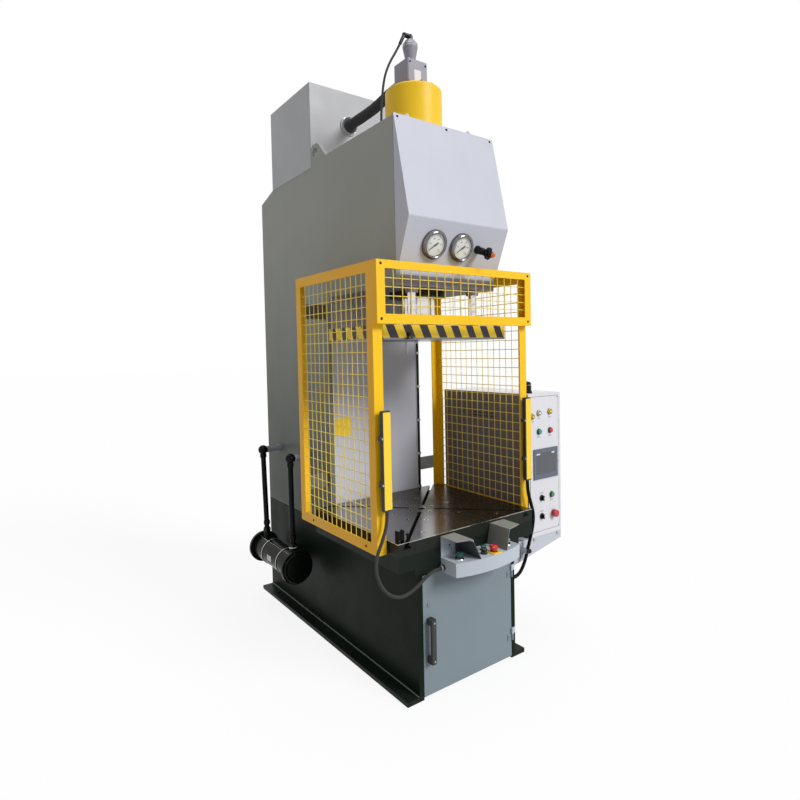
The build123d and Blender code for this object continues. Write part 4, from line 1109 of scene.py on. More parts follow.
@dataclass
class Cord:
    """A hose or cable: its route in metres, its size, and the look of its cover."""

    name: str
    node: str
    route: list[tuple[float, float, float]]
    diameter: float
    length: float
    finish: Finish
    pitch: float = 0.0
    ridge: float = 0.0
    stiffness: str = "medium"

    def line(self, bevel: float) -> bpy.types.Object:
        """The NURBS spline of the route, with a round section if bevel is above 0.

        Args:
            bevel: radius of the section in metres.

        Returns:
            The curve object, not yet in the scene.
        """
        curve = bpy.data.curves.new(self.name, "CURVE")
        curve.dimensions = "3D"
        curve.resolution_u = 48
        curve.bevel_depth = bevel
        curve.bevel_resolution = 5
        curve.use_fill_caps = True
        spline = curve.splines.new("NURBS")
        spline.points.add(len(self.route) - 1)
        for point, place in zip(spline.points, self.route):
            point.co = (*place, 1.0)
        spline.order_u = 3
        spline.use_endpoint_u = True
        return bpy.data.objects.new(self.name, curve)

    def build(self, with_pieces: Sequence[bpy.types.Object] = ()) -> None:
        """Makes the cord: a ridged cover swept along the spline's points, or the bevelled spline itself.

        The ridged cover's radius at arc length s is r (1 - ridge |sin(pi s / pitch)|^3).

        Args:
            with_pieces: not used.
        """
        if self.pitch > 0:
            points = meshed(self.line(0.0)).verts
            steps = np.linalg.norm(np.diff(points, axis=0), axis=1)
            s = np.concatenate([[0.0], np.cumsum(steps)])
            radius = self.diameter / 2 * (1 - self.ridge * np.abs(np.sin(np.pi * s / self.pitch)) ** 3)
            made = piece(self.name, tube(points / MM, radius / MM, 20), self.finish, smooth=60.0)
        else:
            made = self.line(self.diameter / 2)
            made.data.materials.append(self.finish.material())
            bpy.context.scene.collection.objects.link(made)
            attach(made, BASE)
        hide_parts(self.node)


@dataclass
class WeldedFrame:
    """The side plates, webs, head floor and base, with their weld beads and small fittings."""

    half: float = 320.0
    inner: float = 295.0
    base_top: float = 22.0
    throat: float = 408.0
    shelf: float = 633.0
    head: float = 1930.0
    pipe: tuple[float, float] = (306.0, 401.0)
    plate_at: tuple[float, float] = (-240.0, 1194.0)
    back: float = 1295.0

    def dress(self) -> None:
        """Paints the plates."""
        dress(SHADED_SIDE_GREY, "frame_sides")
        dress(LIGHT_GREY, "frame_webs")
        dress(HEAD_SHADE_GREY, "head_floor")
        dress(DARK_GREEN, "base_plate")

    def beads(self) -> None:
        """Weld beads: side plates on the base flange, and the throat plate between the side plates."""
        low, high = [], []
        foot = self.base_top + 1.5
        for side in Side:
            x = side.value * (self.half + 1.5)
            low.append(bead(np.array([[x, -368, foot], [x, self.back - 4, foot]]), 3.6))
            xi, yi = side.value * (self.inner - 1.0), self.throat - 1
            high.append(bead(np.array([[xi, yi, self.shelf + 7], [xi, yi, self.head - 6]]), 3.2))
        piece("base_weld_beads", join(low), BEAD_GREY)
        piece("throat_weld_beads", join(high), LIGHT_GREY)

    def fittings(self) -> None:
        """Blank plate, hanging hook and the pipe clipped beside the throat."""
        x, z = self.plate_at
        piece("throat_plate_yellow", plate(106, 102, 2, 4).facing((x, self.throat, z), -Y), YELLOW_PLATE)
        rivets = fronts(pan_screw(2.6, 1.4), self.throat - 2.2, grid((x - 47, x + 47), (z - 44, z + 44)))
        eye = np.array([226.0, 400.0, 1690.0])
        hook = rods(np.array([eye, eye]), np.array([eye - [0, 0, 86], eye - [0, 12, 0]]), 3.0)
        lug = slab((212, 396, 1684), (240, 408, 1700), 2)
        piece("throat_rivets", join(rivets) + hook + lug, ZINC)
        x, y = self.pipe
        top, turn = 1658.0, np.linspace(0, 1.5, 6)
        straight = tube(np.array([[x, y, z] for z in np.linspace(650, top, 40)]), 5.0, 14)
        curve = np.array([[x, y + 7 * math.sin(t), top + 7 * (1 - math.cos(t))] for t in turn])
        clips = [slab((x - 10, y - 7, z), (x + 10, y + 7, z + 14), 5) for z in range(760, 1640, 210)]
        piece("throat_pipe", join([straight, tube(curve, 5.0, 14)]), BLACK_GLOSS)
        piece("throat_pipe_clips", join(clips), ZINC)

    def build(self) -> None:
        """Builds all of it."""
        self.dress()
        self.beads()
        self.fittings()


@dataclass
class Hood:
    """Folded hood over the head, its screws, seams and lifting bits."""

    profile: tuple[tuple[float, float], ...] = ((-256.0, 2723.0), (-361.0, 2234.0), (-279.0, 2031.0))
    half: float = 320.0
    screw_xs: tuple[float, ...] = (-300.0, 0.0, 298.0)
    visor: tuple[float, float] = (474.0, -352.0)
    visor_zs: tuple[float, float] = (1765.0, 2007.0)
    guard: tuple[float, float] = (498.0, 729.0)
    guard_ys: tuple[float, float] = (-220.0, 297.0)

    def normal(self, first: int) -> Array:
        """Outward normal of one flat of the profile."""
        (y0, z0), (y1, z1) = self.profile[first : first + 2]
        return unit(np.array([0.0, z1 - z0, y0 - y1]))

    def screws(self) -> None:
        """Pan screws of the hood and the guard, in the places of the plain ones."""
        out = self.normal(0)
        (y0, z0), (y1, z1) = self.profile[:2]
        along = unit(np.array([0.0, y0 - y1, z0 - z1]))
        screw = pan_screw(6.5, 4.0)
        heads = [screw.facing(np.array([x, y0, z0]) - along * 16, out) for x in self.screw_xs]
        (vx, vy), (gx, gz) = self.visor, self.guard
        heads += fronts(screw, vy, grid((-vx, vx), self.visor_zs))
        heads += [screw.facing((s.value * gx, y, gz), s.value * X) for s in Side for y in self.guard_ys]
        piece("panel_screw_heads", join(heads), BLACK_OXIDE, replaces=["panel_screws"])

    def seams(self) -> None:
        """The hood's back edge where it meets the side plates, and two lifting tabs on the deck."""
        lines = []
        for side in Side:
            x = side.value * (self.half + 0.1)
            lines.append(slab((x - 0.3, -253.2, 2031), (x + 0.3, -251.6, 2722), 0.2, 0))
            lines.append(slab((x - 0.3, 562.0, 2692), (x + 0.3, 563.4, 3176), 0.2, 0))
        piece("hood_seams", join(lines), SEAM)
        tabs = []
        for x in (-229.0, 162.0):
            ear = prism([(-13, 0), (13, 0), (13, 16), (6, 25), (-6, 25), (-13, 16)], 5, 0.8)
            tabs.append(ear.facing((x, -240, 2715), -Y))
            tabs.append(hex_bolt(5, 4).facing((x, -246, 2727), -Y))
        piece("hood_tabs", join(tabs), LIGHT_GREY)

    def build(self) -> None:
        """Builds all of it."""
        dress(LIGHT_GREY, "hood")
        self.screws()
        self.seams()


@dataclass
class Gauges:
    """Two pressure gauges with dials and glass, and the relief valve with its knob."""

    xs: tuple[float, float] = (-142.0, 30.0)
    relief_x: float = 141.0
    height: float = 2124.0
    dial_r: float = 52.6

    def __post_init__(self) -> None:
        """Works out the hood's lower face."""
        slope = math.atan2(82.0, 203.0)
        self.out = np.array([0.0, -math.cos(slope), -math.sin(slope)])
        self.face_y = -361.0 + (2234.0 - self.height) * math.tan(slope)

    def at(self, shape: Shape, x: float, lift: float) -> Shape:
        """A Z-standing shape put on the lower hood face."""
        return shape.facing(np.array([x, self.face_y, self.height]) + self.out * lift, self.out)

    def scale(self) -> Shape:
        """Ticks from 0 to 250 bar over 270 degrees, with a heavier one at each number, and the numbers.

        Returns:
            The scale, lying in XY.
        """
        marks = []
        for k in range(51):
            angle = math.radians(225 - 270 * k / 50)
            long = k % 10 == 0
            length, width = (8.0, 1.5) if long else (4.5, 0.6)
            bar = plate(length, width, 0.3, 0.1).moved(46.5 - length / 2, 0, 0)
            turn = np.array([math.cos(angle), math.sin(angle), 0])
            marks.append(bar.placed((0, 0, 0), turn, np.array([-turn[1], turn[0], 0])))
            if long:
                marks.append(digits(str(k * 5), 9.5).moved(31.5 * turn[0], 31.5 * turn[1], 0.15))
        arc = np.radians(np.linspace(-45, 225, 91))
        band = np.stack([xyz(r * np.cos(arc), r * np.sin(arc), 0.25) for r in (46.6, 47.3)])
        return join(marks) + lattice(band[::-1])

    def dials(self) -> None:
        """Dial discs, their scales and the glasses."""
        disc = lathe([(self.dial_r, 0.0), (self.dial_r, 0.12), (self.dial_r - 0.3, 0.2)], 64)
        glass = lathe([(53.9, 0), (53.9, 1.0), (53.4, 1.3)], 64)
        piece("gauge_dials", join([self.at(disc, x, 13.02) for x in self.xs]), DIAL_WHITE)
        piece("gauge_scales", join([self.at(self.scale(), x, 13.2) for x in self.xs]), DIAL_INK)
        piece("gauge_glasses", join([self.at(glass, x, 18.2) for x in self.xs]), CLEAR)
        dress(GAUGE_STEEL, "gauges")
        dress(BLACK_PLASTIC, "needle_left", "needle_right")

    def relief(self) -> None:
        """Relief valve body with its nut and flange screws, and the orange tip of its knob."""
        flange = lathe([(21, 0), (21, 6.5), (19.5, 8)], 36)
        hexagon = prism(polygon(6, 20.0), 36, 1.6).moved(0, 0, 8)
        collar = lathe([(17.5, 44), (17.5, 50), (16, 51.5), (16, 53.5), (17.5, 55), (17.5, 67), (16.5, 68)], 36)
        neck = lathe([(8, 68), (8, 101), (7, 102)], 24)
        body = self.at(join([flange, hexagon, collar, neck]), self.relief_x, 0.0)
        piece("relief_body", body, BLACK_OXIDE, replaces=["relief_valve"])
        dress(BLACK_GLOSS, "relief_knob")
        ribs = ring_of(rods(np.array([[0.0, 0, 92]]), np.array([[0.0, 0, 112]]), 1.2, 6), 14, 13.6)
        piece("relief_grip_ribs", self.at(ribs, self.relief_x, 0.0), BLACK_GLOSS, body="relief_knob")
        tip = lathe([(11.2, 115), (12.0, 117), (11.4, 123), (9.0, 126), (3.0, 127)], 28)
        piece("relief_tip", self.at(tip, self.relief_x, 0.0), ORANGE, body="relief_knob")

    def build(self) -> None:
        """Builds all of it."""
        self.dials()
        self.relief()


@dataclass
class Hydraulics:
    """Tank, cylinder, prefill valve and the two hoses on top."""

    lid: float = 3188.0
    tank_half: float = 320.0
    breather: Spot = (120.0, 900.0)
    suction: Spot = (-60.0, 2983.0)
    level: Spot = (819.0, 326.0)
    cylinder_top: float = 2985.0
    block_top: float = 3136.0
    block_front: float = -42.0
    neck_y: float = 20.0
    pilot_r: float = 6.0
    pilot_end: tuple[float, float, float] = (-38.0, 20.0, 3284.0)
    pilot_lean: tuple[float, float, float] = (-32.0, -2.0, -60.0)
    pilot_foot: Spot = (-212.0, -3.0)

    def tank(self) -> None:
        """Lid bolts, breather cap with ribs, flange bolts, level glass and seam beads."""
        dress(TANK_GREY, "oil_tank")
        dress(BLACK_PLASTIC, "tank_breather")
        lid_spots = grid((-185, -62, 62, 185), (674, 996)) + grid((-185, 185), (835,))
        bolts = upright(hex_bolt(6.5, 5), self.lid, lid_spots)
        x, z = self.suction
        flange = [(x + 48.5 * math.cos(a), z + 48.5 * math.sin(a)) for a in circle(4) + np.pi / 4]
        bolts += fronts(hex_bolt(5, 4), 555, flange)
        piece("tank_bolts", join(bolts), ZINC)
        ribs = ring_of(rods(np.array([[0.0, 0, 3203]]), np.array([[0.0, 0, 3232]]), 1.6, 6), 28, 36.2)
        piece("breather_ribs", ribs.moved(*self.breather, 0), BLACK_PLASTIC)
        y, face = self.level
        piece("level_frame", slab((self.tank_half, y - 19, 2800), (face, y + 19, 3060), 2), ZINC)
        piece("level_glass", lathe([(7, 0), (7, 214), (6, 215)], 20).moved(face + 4, y, 2822), LEVEL_TUBE)
        nuts = [hex_bolt(9, 6).facing((face, y, z), X) for z in (2812, 3048)]
        piece("level_nuts", join(nuts), ZINC)
        ends = np.array([[0, 566, 2691.5], [0, 1104, 2691.5]])
        seams = [bead(ends + s.value * (self.tank_half + 0.6) * X, 2.6) for s in Side]
        piece("tank_weld_beads", join(seams), TANK_GREY)

    def cylinder(self) -> None:
        """Yellow barrel, its cap screws, and the prefill block with plate, screws and neck."""
        dress(CYLINDER_YELLOW, "main_cylinder")
        dress(VALVE_GREY, "prefill_valve")
        caps = ring_of(socket_bolt(9, 9), 12, 122, 0.2).moved(0, 0, self.cylinder_top)
        piece("cap_screws", caps, BLACK_OXIDE)
        screws = upright(socket_bolt(5.5, 5), self.block_top, grid((-52, 52), (-30, 70)))
        screws += fronts(socket_bolt(4.5, 4), self.block_front, grid((-50, 50), (3000, 3118)))
        piece("block_screws", join(screws), BLACK_OXIDE)
        piece("block_plate", plate(44, 66, 1.2, 2).facing((-2, self.block_front, 3052), -Y), BARE_PLATE)
        levels = ((30.2, 3134), (40.2, 3226), (40.2, 3236))
        rings = [lathe([(r, h), (r + 1.2, h + 2), (r, h + 4)], 36) for r, h in levels]
        piece("neck_rings", join(rings).moved(0, self.neck_y, 0), ZINC)
        dress(BLACK_GLOSS, "pilot_elbow")
        piece("elbow_nut", prism(polygon(6, 17.5), 11, 1.2).moved(0, self.neck_y, 3262.2), BLACK_OXIDE)

    def suction_hose(self) -> None:
        """Ridged suction hose with its cuff and clamps."""
        x, z = self.suction
        band = lathe([(30.4, 0), (31.4, 0.5), (31.4, 11.5), (30.4, 12)], 40)
        clamps = [band.facing((x, 540, z), -Y), band.facing((-5, 98, 3060), -Y)]
        clamps += [slab((-66, 528, 3012), (-54, 540, 3020), 1.5), slab((-11, 86, 3089), (1, 98, 3097), 1.5)]
        piece("hose_clamps", join(clamps), ZINC)
        cuff = lathe([(46.5, 0), (46.5, 2.5), (36, 5), (32.5, 12), (31.6, 24)], 40)
        piece("hose_cuff", cuff.facing((x, 545, z), -Y), BLACK_PLASTIC)
        name, node = "suction_hose_cover", "suction_hose"
        Cord(name, node, SUCTION_ROUTE, 0.06, 0.479, RUBBER, 0.013, 0.07, "stiff").build()

    def pilot_hose(self) -> None:
        """Thin pilot hose from the elbow down behind the hood, with crimped ends."""
        lean, (x, y) = np.array(self.pilot_lean), self.pilot_foot
        start = np.array(self.pilot_end) + unit(lean) * 38
        sleeve = lathe([(6.3, 0), (8.6, 1), (8.6, 24), (7.4, 27), (6.3, 28)], 20)
        low = sleeve.moved(x, y, 2717) + prism(polygon(6, 11), 9, 1).moved(x, y, 2715)
        piece("pilot_sleeves", low + sleeve.facing(start + unit(lean) * 2, lean), BLACK_OXIDE)
        route = [tuple(start * MM), tuple((start + lean) * MM), *PILOT_TAIL]
        Cord("pilot_hose_cover", "pilot_hose", route, 2 * self.pilot_r * MM, 0.571, RUBBER).build()

    def build(self) -> None:
        """Builds all of it."""
        self.tank()
        self.cylinder()
        self.suction_hose()
        self.pilot_hose()


@dataclass
class Ram:
    """Slide plate with warning stripes, chromed rod and guides, sensor."""

    body: str = "ram"
    top: float = 1745.0

    def build(self) -> None:
        """Dresses the moving group and adds its screws and collars."""
        dress(Stripes("hazard_stripes"), "slide_plate")
        dress(CHROME, "piston_rod", "guide_rods")
        foot = slab((-266, -273, 1678), (-236, -253, 1692), 2) + slab((-258, -272, 1692), (-244, -253, 1710), 2)
        piece("sensor_clamp", foot, BLACK_PLASTIC, body=self.body, replaces=["slide_sensor"])
        flange = ring_of(socket_bolt(8, 8), 10, 110, 0.3).moved(0, 0, 1777)
        piece("rod_flange_screws", flange, BLACK_OXIDE, body=self.body)
        nuts = upright(prism(polygon(6, 32), 18, 2), self.top, grid((-200, 200), (-212,)))
        piece("guide_rod_nuts", join(nuts), ZINC, body=self.body)
        corner = upright(socket_bolt(7, 7), self.top, grid((-370, 370), (-215, 215)))
        piece("slide_screws", join(corner), BLACK_OXIDE, body=self.body)
        sensor = fronts(pan_screw(2.4, 1.6), -272.6, grid((-261, -241), (1685,)))
        piece("sensor_screws", join(sensor), ZINC, body=self.body)


@dataclass
class Table:
    """Bolster with its slots and holes, the box under it and the forked stop."""

    top: float = 766.0

    def build(self) -> None:
        """Dresses the table and rims every hole with a bright countersink."""
        dress(PLATE_STEEL, "bolster")
        dress(DARK_GREEN, "bolster_box")
        dress(FORK_BLACK, "fork_block")
        # A thin chrome rod on the top edge stands for its chamfer and draws a painted highlight line.
        edge = self.top - 0.4
        corners = np.array([[-441.0, 380, edge], [-441, -392, edge], [441, -392, edge], [441, 380, edge]])
        piece("table_edge_chamfer_highlight", rods(corners[:3], corners[1:], 0.9, 6), CHROME)
        holes = []
        for hx, hy in ((180, 0), (180, 110), (180, -110)):
            for a in circle(4):
                holes.append((hx * math.cos(a) - hy * math.sin(a), hx * math.sin(a) + hy * math.cos(a)))
        holes += [(0, 74), (0, -74), (74, 0), (-74, 0), (243, -324), (-243, -324), (243, 324), (-243, 324)]
        # The countersinks are real; their bright chrome is partly a painted highlight.
        rim = self.rim(8.0, 3.4)
        piece("hole_rims", join([rim.moved(x, y, 0) for x, y in holes] + [self.rim(20.0, 3.6)]), CHROME)

    def rim(self, r: float, width: float) -> Shape:
        """A shallow conical ring round a hole: rises 0.25 mm at r and falls to the plate at r + width.

        Args:
            r: radius of the hole.
            width: width of the ring.

        Returns:
            The ring, round the Z axis.
        """
        top, outer = self.top, r + width
        profile = [(r, top - 4), (r, top + 0.1), (outer, top + 0.25), (outer + 0.4, top - 0.1)]
        a = circle(24)
        rows = np.stack([xyz(q * np.cos(a), q * np.sin(a), h) for q, h in profile])
        return lattice(rows[::-1], wrap_u=True, wrap_v=True)


@dataclass
class Guard:
    """Side frames, visor and the round-wire meshes welded into them."""

    x: float = 498.0
    angle: float = 50.0
    t: float = 5.0
    front: float = -314.0
    back: float = 438.0
    bottom: float = 704.0
    top: float = 2024.0
    wire: float = 4.0
    seat: float = 0.3
    up: int = 13
    along: int = 23
    visor_front: float = -352.0
    visor_bottom: float = 1743.0
    visor_up: int = 17
    visor_along: int = 4
    visor_half: float = 453.0
    visor_reach: float = 470.0

    def side_wires(self, side: Side) -> Shape:
        """Both layers of one side's mesh.

        Args:
            side: the side it is on.

        Returns:
            The wires.
        """
        s, r = side.value, self.wire / 2
        x1 = s * (self.x - self.t - self.seat - r)
        x2 = x1 - s * (self.wire + self.seat)
        y0, y1 = self.front + self.angle, self.back - self.angle
        z0, z1 = self.bottom + self.angle, self.top - self.angle
        ys = y0 + (y1 - y0) * np.arange(1, self.up + 1) / (self.up + 1)
        zs = z0 + (z1 - z0) * np.arange(1, self.along + 1) / (self.along + 1)
        low = xyz(x1, ys, self.bottom + 30)
        high = low * [1, 1, 0] + [0, 0, self.top - 30]
        near = xyz(x2, self.front + 30, zs)
        far = near * [1, 0, 1] + [0, self.back - 30, 0]
        return rods(low, high, r) + rods(near, far, r)

    def visor_wires(self) -> Shape:
        """Both layers of the visor's mesh.

        Returns:
            The wires.
        """
        r = self.wire / 2
        y1 = self.visor_front + self.t + self.seat + r
        y2 = y1 + self.wire + self.seat
        xs = -self.visor_half + 2 * self.visor_half * np.arange(1, self.visor_up + 1) / (self.visor_up + 1)
        z0, z1 = self.visor_bottom + 44, self.top - 37
        zs = z0 + (z1 - z0) * np.arange(1, self.visor_along + 1) / (self.visor_along + 1)
        low = xyz(xs, y1, self.visor_bottom + 28)
        high = low * [1, 1, 0] + [0, 0, self.top - 24]
        left = xyz(-self.visor_reach, y2, zs)
        return rods(low, high, r) + rods(left, left * [-1, 1, 1], r)

    def welds(self) -> Shape:
        """Spot welds where the mesh lies on the frames, as flattened drops.

        Returns:
            All the welds as one shape.
        """
        drop = lathe([(3.4, 0), (3.0, 1.2), (1.6, 2.0), (0.4, 2.2)], 8)
        out = []
        for side in Side:
            s = side.value
            x = s * (self.x - self.t)
            z0, z1 = self.bottom + self.angle, self.top - self.angle
            for k in range(1, self.along + 1):
                z = z0 + (z1 - z0) * k / (self.along + 1)
                out += [drop.facing((x, y, z), -s * X) for y in (self.front + 38, self.back - 38)]
        return join(out)

    def dots(self) -> Shape:
        """Wire ends that come through the inner leg of each rear stile, seen from the front.

        Returns:
            All the wire ends as one shape.
        """
        stub = lathe([(2.3, 0), (2.3, 0.6), (1.8, 0.9)], 8)
        z0, z1 = self.bottom + self.angle, self.top - self.angle
        zs = [z0 + (z1 - z0) * k / (self.along + 1) for k in range(0, self.along + 2)]
        return join(fronts(stub, self.back - self.t, grid([s.value * (self.x - 22) for s in Side], zs)))

    def build(self) -> None:
        """Builds the meshes and dresses the frames."""
        dress(GUARD_YELLOW, "guard_left", "guard_right", "guard_front")
        piece("wires_left", self.side_wires(Side.LEFT), WIRE_YELLOW, replaces=["mesh_left"])
        piece("wires_right", self.side_wires(Side.RIGHT), WIRE_YELLOW, replaces=["mesh_right"])
        piece("wires_front", self.visor_wires(), WIRE_YELLOW, replaces=["mesh_front"])
        piece("mesh_welds", self.welds(), GUARD_YELLOW)
        piece("mesh_wire_ends", self.dots(), WIRE_END)
        dress(BRACKET_GREY, "brackets")


@dataclass
class LightCurtains:
    """Two light curtain bars with caps and clamps, the left one's cable and the right one's conduit."""

    x: float = 463.0
    w: float = 46.0
    d: float = 24.0
    front: float = -356.0
    low: float = 912.0
    high: float = 1358.0

    def bars(self) -> None:
        """Black extrusions with a yellow face, a dark window on the inner side and caps at both ends."""
        mid, length, centre = self.front + self.d / 2, self.high - self.low, (self.low + self.high) / 2
        body, face, window, caps = [], [], [], []
        for side in Side:
            x = side.value * self.x
            body.append(prism(rounded(self.w, self.d, 4.0), length - 16).moved(x, mid, self.low + 8))
            for z in (self.low, self.high - 8):
                caps.append(prism(rounded(self.w - 1, self.d - 1, 4.0), 8, 1.5).moved(x, mid, z))
            strip = plate(self.w - 6, length - 12, 0.8, 3)
            face.append(strip.facing((x + 1.5, self.front - 0.3, centre), -Y))
            pane = plate(self.d - 9, length - 40, 0.5, 2)
            window.append(pane.facing((x - side.value * (self.w / 2 - 0.2), mid, centre), -side.value * X))
            foot = lathe([(10.5, self.low - 7), (10.5, self.low - 1), (9.5, self.low)], 28)
            caps.append(foot.moved(x, mid, 0))
        piece("curtain_bodies", join(body), BLACK_PLASTIC, replaces=["light_curtains"])
        piece("curtain_faces", join(face), CURTAIN_YELLOW)
        piece("curtain_windows", join(window), BLACK_GLOSS)
        piece("curtain_caps", join(caps), BLACK_PLASTIC)

    def clamps(self) -> None:
        """A black clamp with a bright screw at the left of each bar, at both brackets."""
        straps, screws = [], []
        for x, z in grid([s.value * self.x for s in Side], (1031.0, 1237.0)):
            straps.append(slab((x - 34, self.front - 2, z - 9), (x - 17, self.front + self.d + 1, z + 9), 3))
            screws.append(socket_bolt(4.5, 3).facing((x - 26, self.front - 2, z), -Y))
        piece("curtain_straps", join(straps), BLACK_PLASTIC)
        piece("curtain_strap_screws", join(screws), ZINC)

    def cords(self) -> None:
        """Cable and conduit, with their glands."""
        both = CABLE_ROUTE, CONDUIT_ROUTE
        cable, conduit = ([tuple(c * MM for c in p) for p in route] for route in both)
        Cord("curtain_cable_cover", "curtain_cable", cable, 0.016, 0.685, RUBBER).build()
        Cord("curtain_conduit_cover", "curtain_conduit", conduit, 0.019, 0.592, CONDUIT, 0.0055, 0.09).build()
        sleeve = lathe([(12.5, 0), (12.5, 7), (11.6, 8), (11.6, 13), (9.4, 18)], 28)
        gland = sleeve.moved(0, 0, 4) + prism(polygon(6, 14.5), 6, 0.8)
        glands = gland.facing((-196.0, -412, 612), -X) + gland.facing((320.0, -330, 396), X)
        piece("cord_glands", glands, BLACK_PLASTIC)
        clip = slab((445.4, -350.6, 508.4), (480.6, -345, 529.6), 2)
        screws = fronts(socket_bolt(3.5, 3), -350.6, grid((449.5, 476.5), (519,)))
        piece("conduit_clip", clip + join(screws), BLACK_OXIDE)

    def build(self) -> None:
        """Builds all of it."""
        self.bars()
        self.clamps()
        self.cords()


@dataclass
class Console:
    """Two-hand console: bowed box, shrouds, buttons with rings and plates."""

    mid: float = 13.0
    top: float = 654.0
    shroud_top: float = 754.0
    screw_y: float = -404.0
    palm_x: float = 156.0
    palm_y: float = -460.0
    spots: dict[str, tuple[float, float]] = field(
        default_factory=lambda: {"button": (28.0, -446.0), "selector": (-7.0, -484.0), "stop": (46.0, -497.0)}
    )

    def rings(self) -> list[Shape]:
        """Chromed rings round the palm buttons and the green button.

        Returns:
            The three rings.
        """
        wide = lathe([(24.5, 0), (24.5, 2.0), (23.5, 3.4), (21.2, 3.6)], 40)
        narrow = lathe([(18.6, 0), (18.6, 2.2), (17.6, 3.2)], 36)
        out = [wide.moved(self.mid + s.value * self.palm_x, self.palm_y, self.top) for s in Side]
        return out + [narrow.moved(*self.spots["button"], self.top)]

    def dome(self, r: float, h: float, gap: float) -> Shape:
        """A flared cap: its crown at radius q r stands h (0.6 + 0.4 (1 - q^2.4)) above the gap.

        Args:
            r: largest radius.
            h: height of the cap.
            gap: height of its foot above the console.

        Returns:
            The cap, standing along Z.
        """
        q = np.linspace(1.0, 0.08, 9)
        crown = [(r * v, gap + h * (0.6 + 0.4 * (1 - v**2.4))) for v in q]
        return lathe([(r * 0.84, gap), (r * 0.86, gap + h * 0.3), (r * 0.97, gap + h * 0.52)] + crown, 40)

    def head(self, name: str, node: str, spot: Spot, size: tuple[float, float, float], finish: Finish) -> None:
        """A button head on its stem, in the place of a plain one.

        Args:
            name: the piece's name.
            node: the CAD node it stands for, and its body.
            spot: its x and y.
            size: radius, height and gap of the cap.
            finish: its finish.
        """
        r, h, gap = size
        stem = lathe([(11, -20), (11, gap - 1), (10, gap)], 28)
        piece(name, (self.dome(r, h, gap) + stem).moved(*spot, self.top), finish, body=node, replaces=[node])

    def build(self) -> None:
        """Builds all of it."""
        dress(CONSOLE_GREY, "console_box")
        dress(SHROUD_GREY, "console_shrouds")
        dress(BLACK_PLASTIC, "button_bezels", "console_selector")
        piece("console_rings", join(self.rings()), CHROME)
        sx, sy = self.spots["stop"]
        square = slab((sx - 29, sy - 29, self.top), (sx + 29, sy + 29, self.top + 3.6), 3)
        piece("stop_plate", square, YELLOW_PLASTIC)
        left, right = ((self.mid + s.value * self.palm_x, self.palm_y) for s in Side)
        self.head("palm_left_cap", "palm_left", left, (20, 18, 15), PALM_TEAL)
        self.head("palm_right_cap", "palm_right", right, (20, 18, 15), PALM_GREY)
        self.head("start_cap", "console_button", self.spots["button"], (15.5, 16, 10), PALM_TEAL)
        self.head("stop_cap", "console_estop", self.spots["stop"], (22.5, 22, 14), RED)
        x, y = self.spots["selector"]
        mark = slab((x - 1.2, y - 14, self.top + 21), (x + 1.2, y + 6, self.top + 21.6), 0.5)
        piece("selector_mark", mark, WHITE_PLASTIC, body="console_selector")
        screw = pan_screw(3.2, 2.0).moved(self.mid, self.screw_y, 0)
        screws = upright(screw, self.top, grid((-195, -60, 60, 195), (0,)))
        screws += upright(screw, self.shroud_top, grid((-150, 150), (0,)))
        piece("console_screws", join(screws), ZINC)


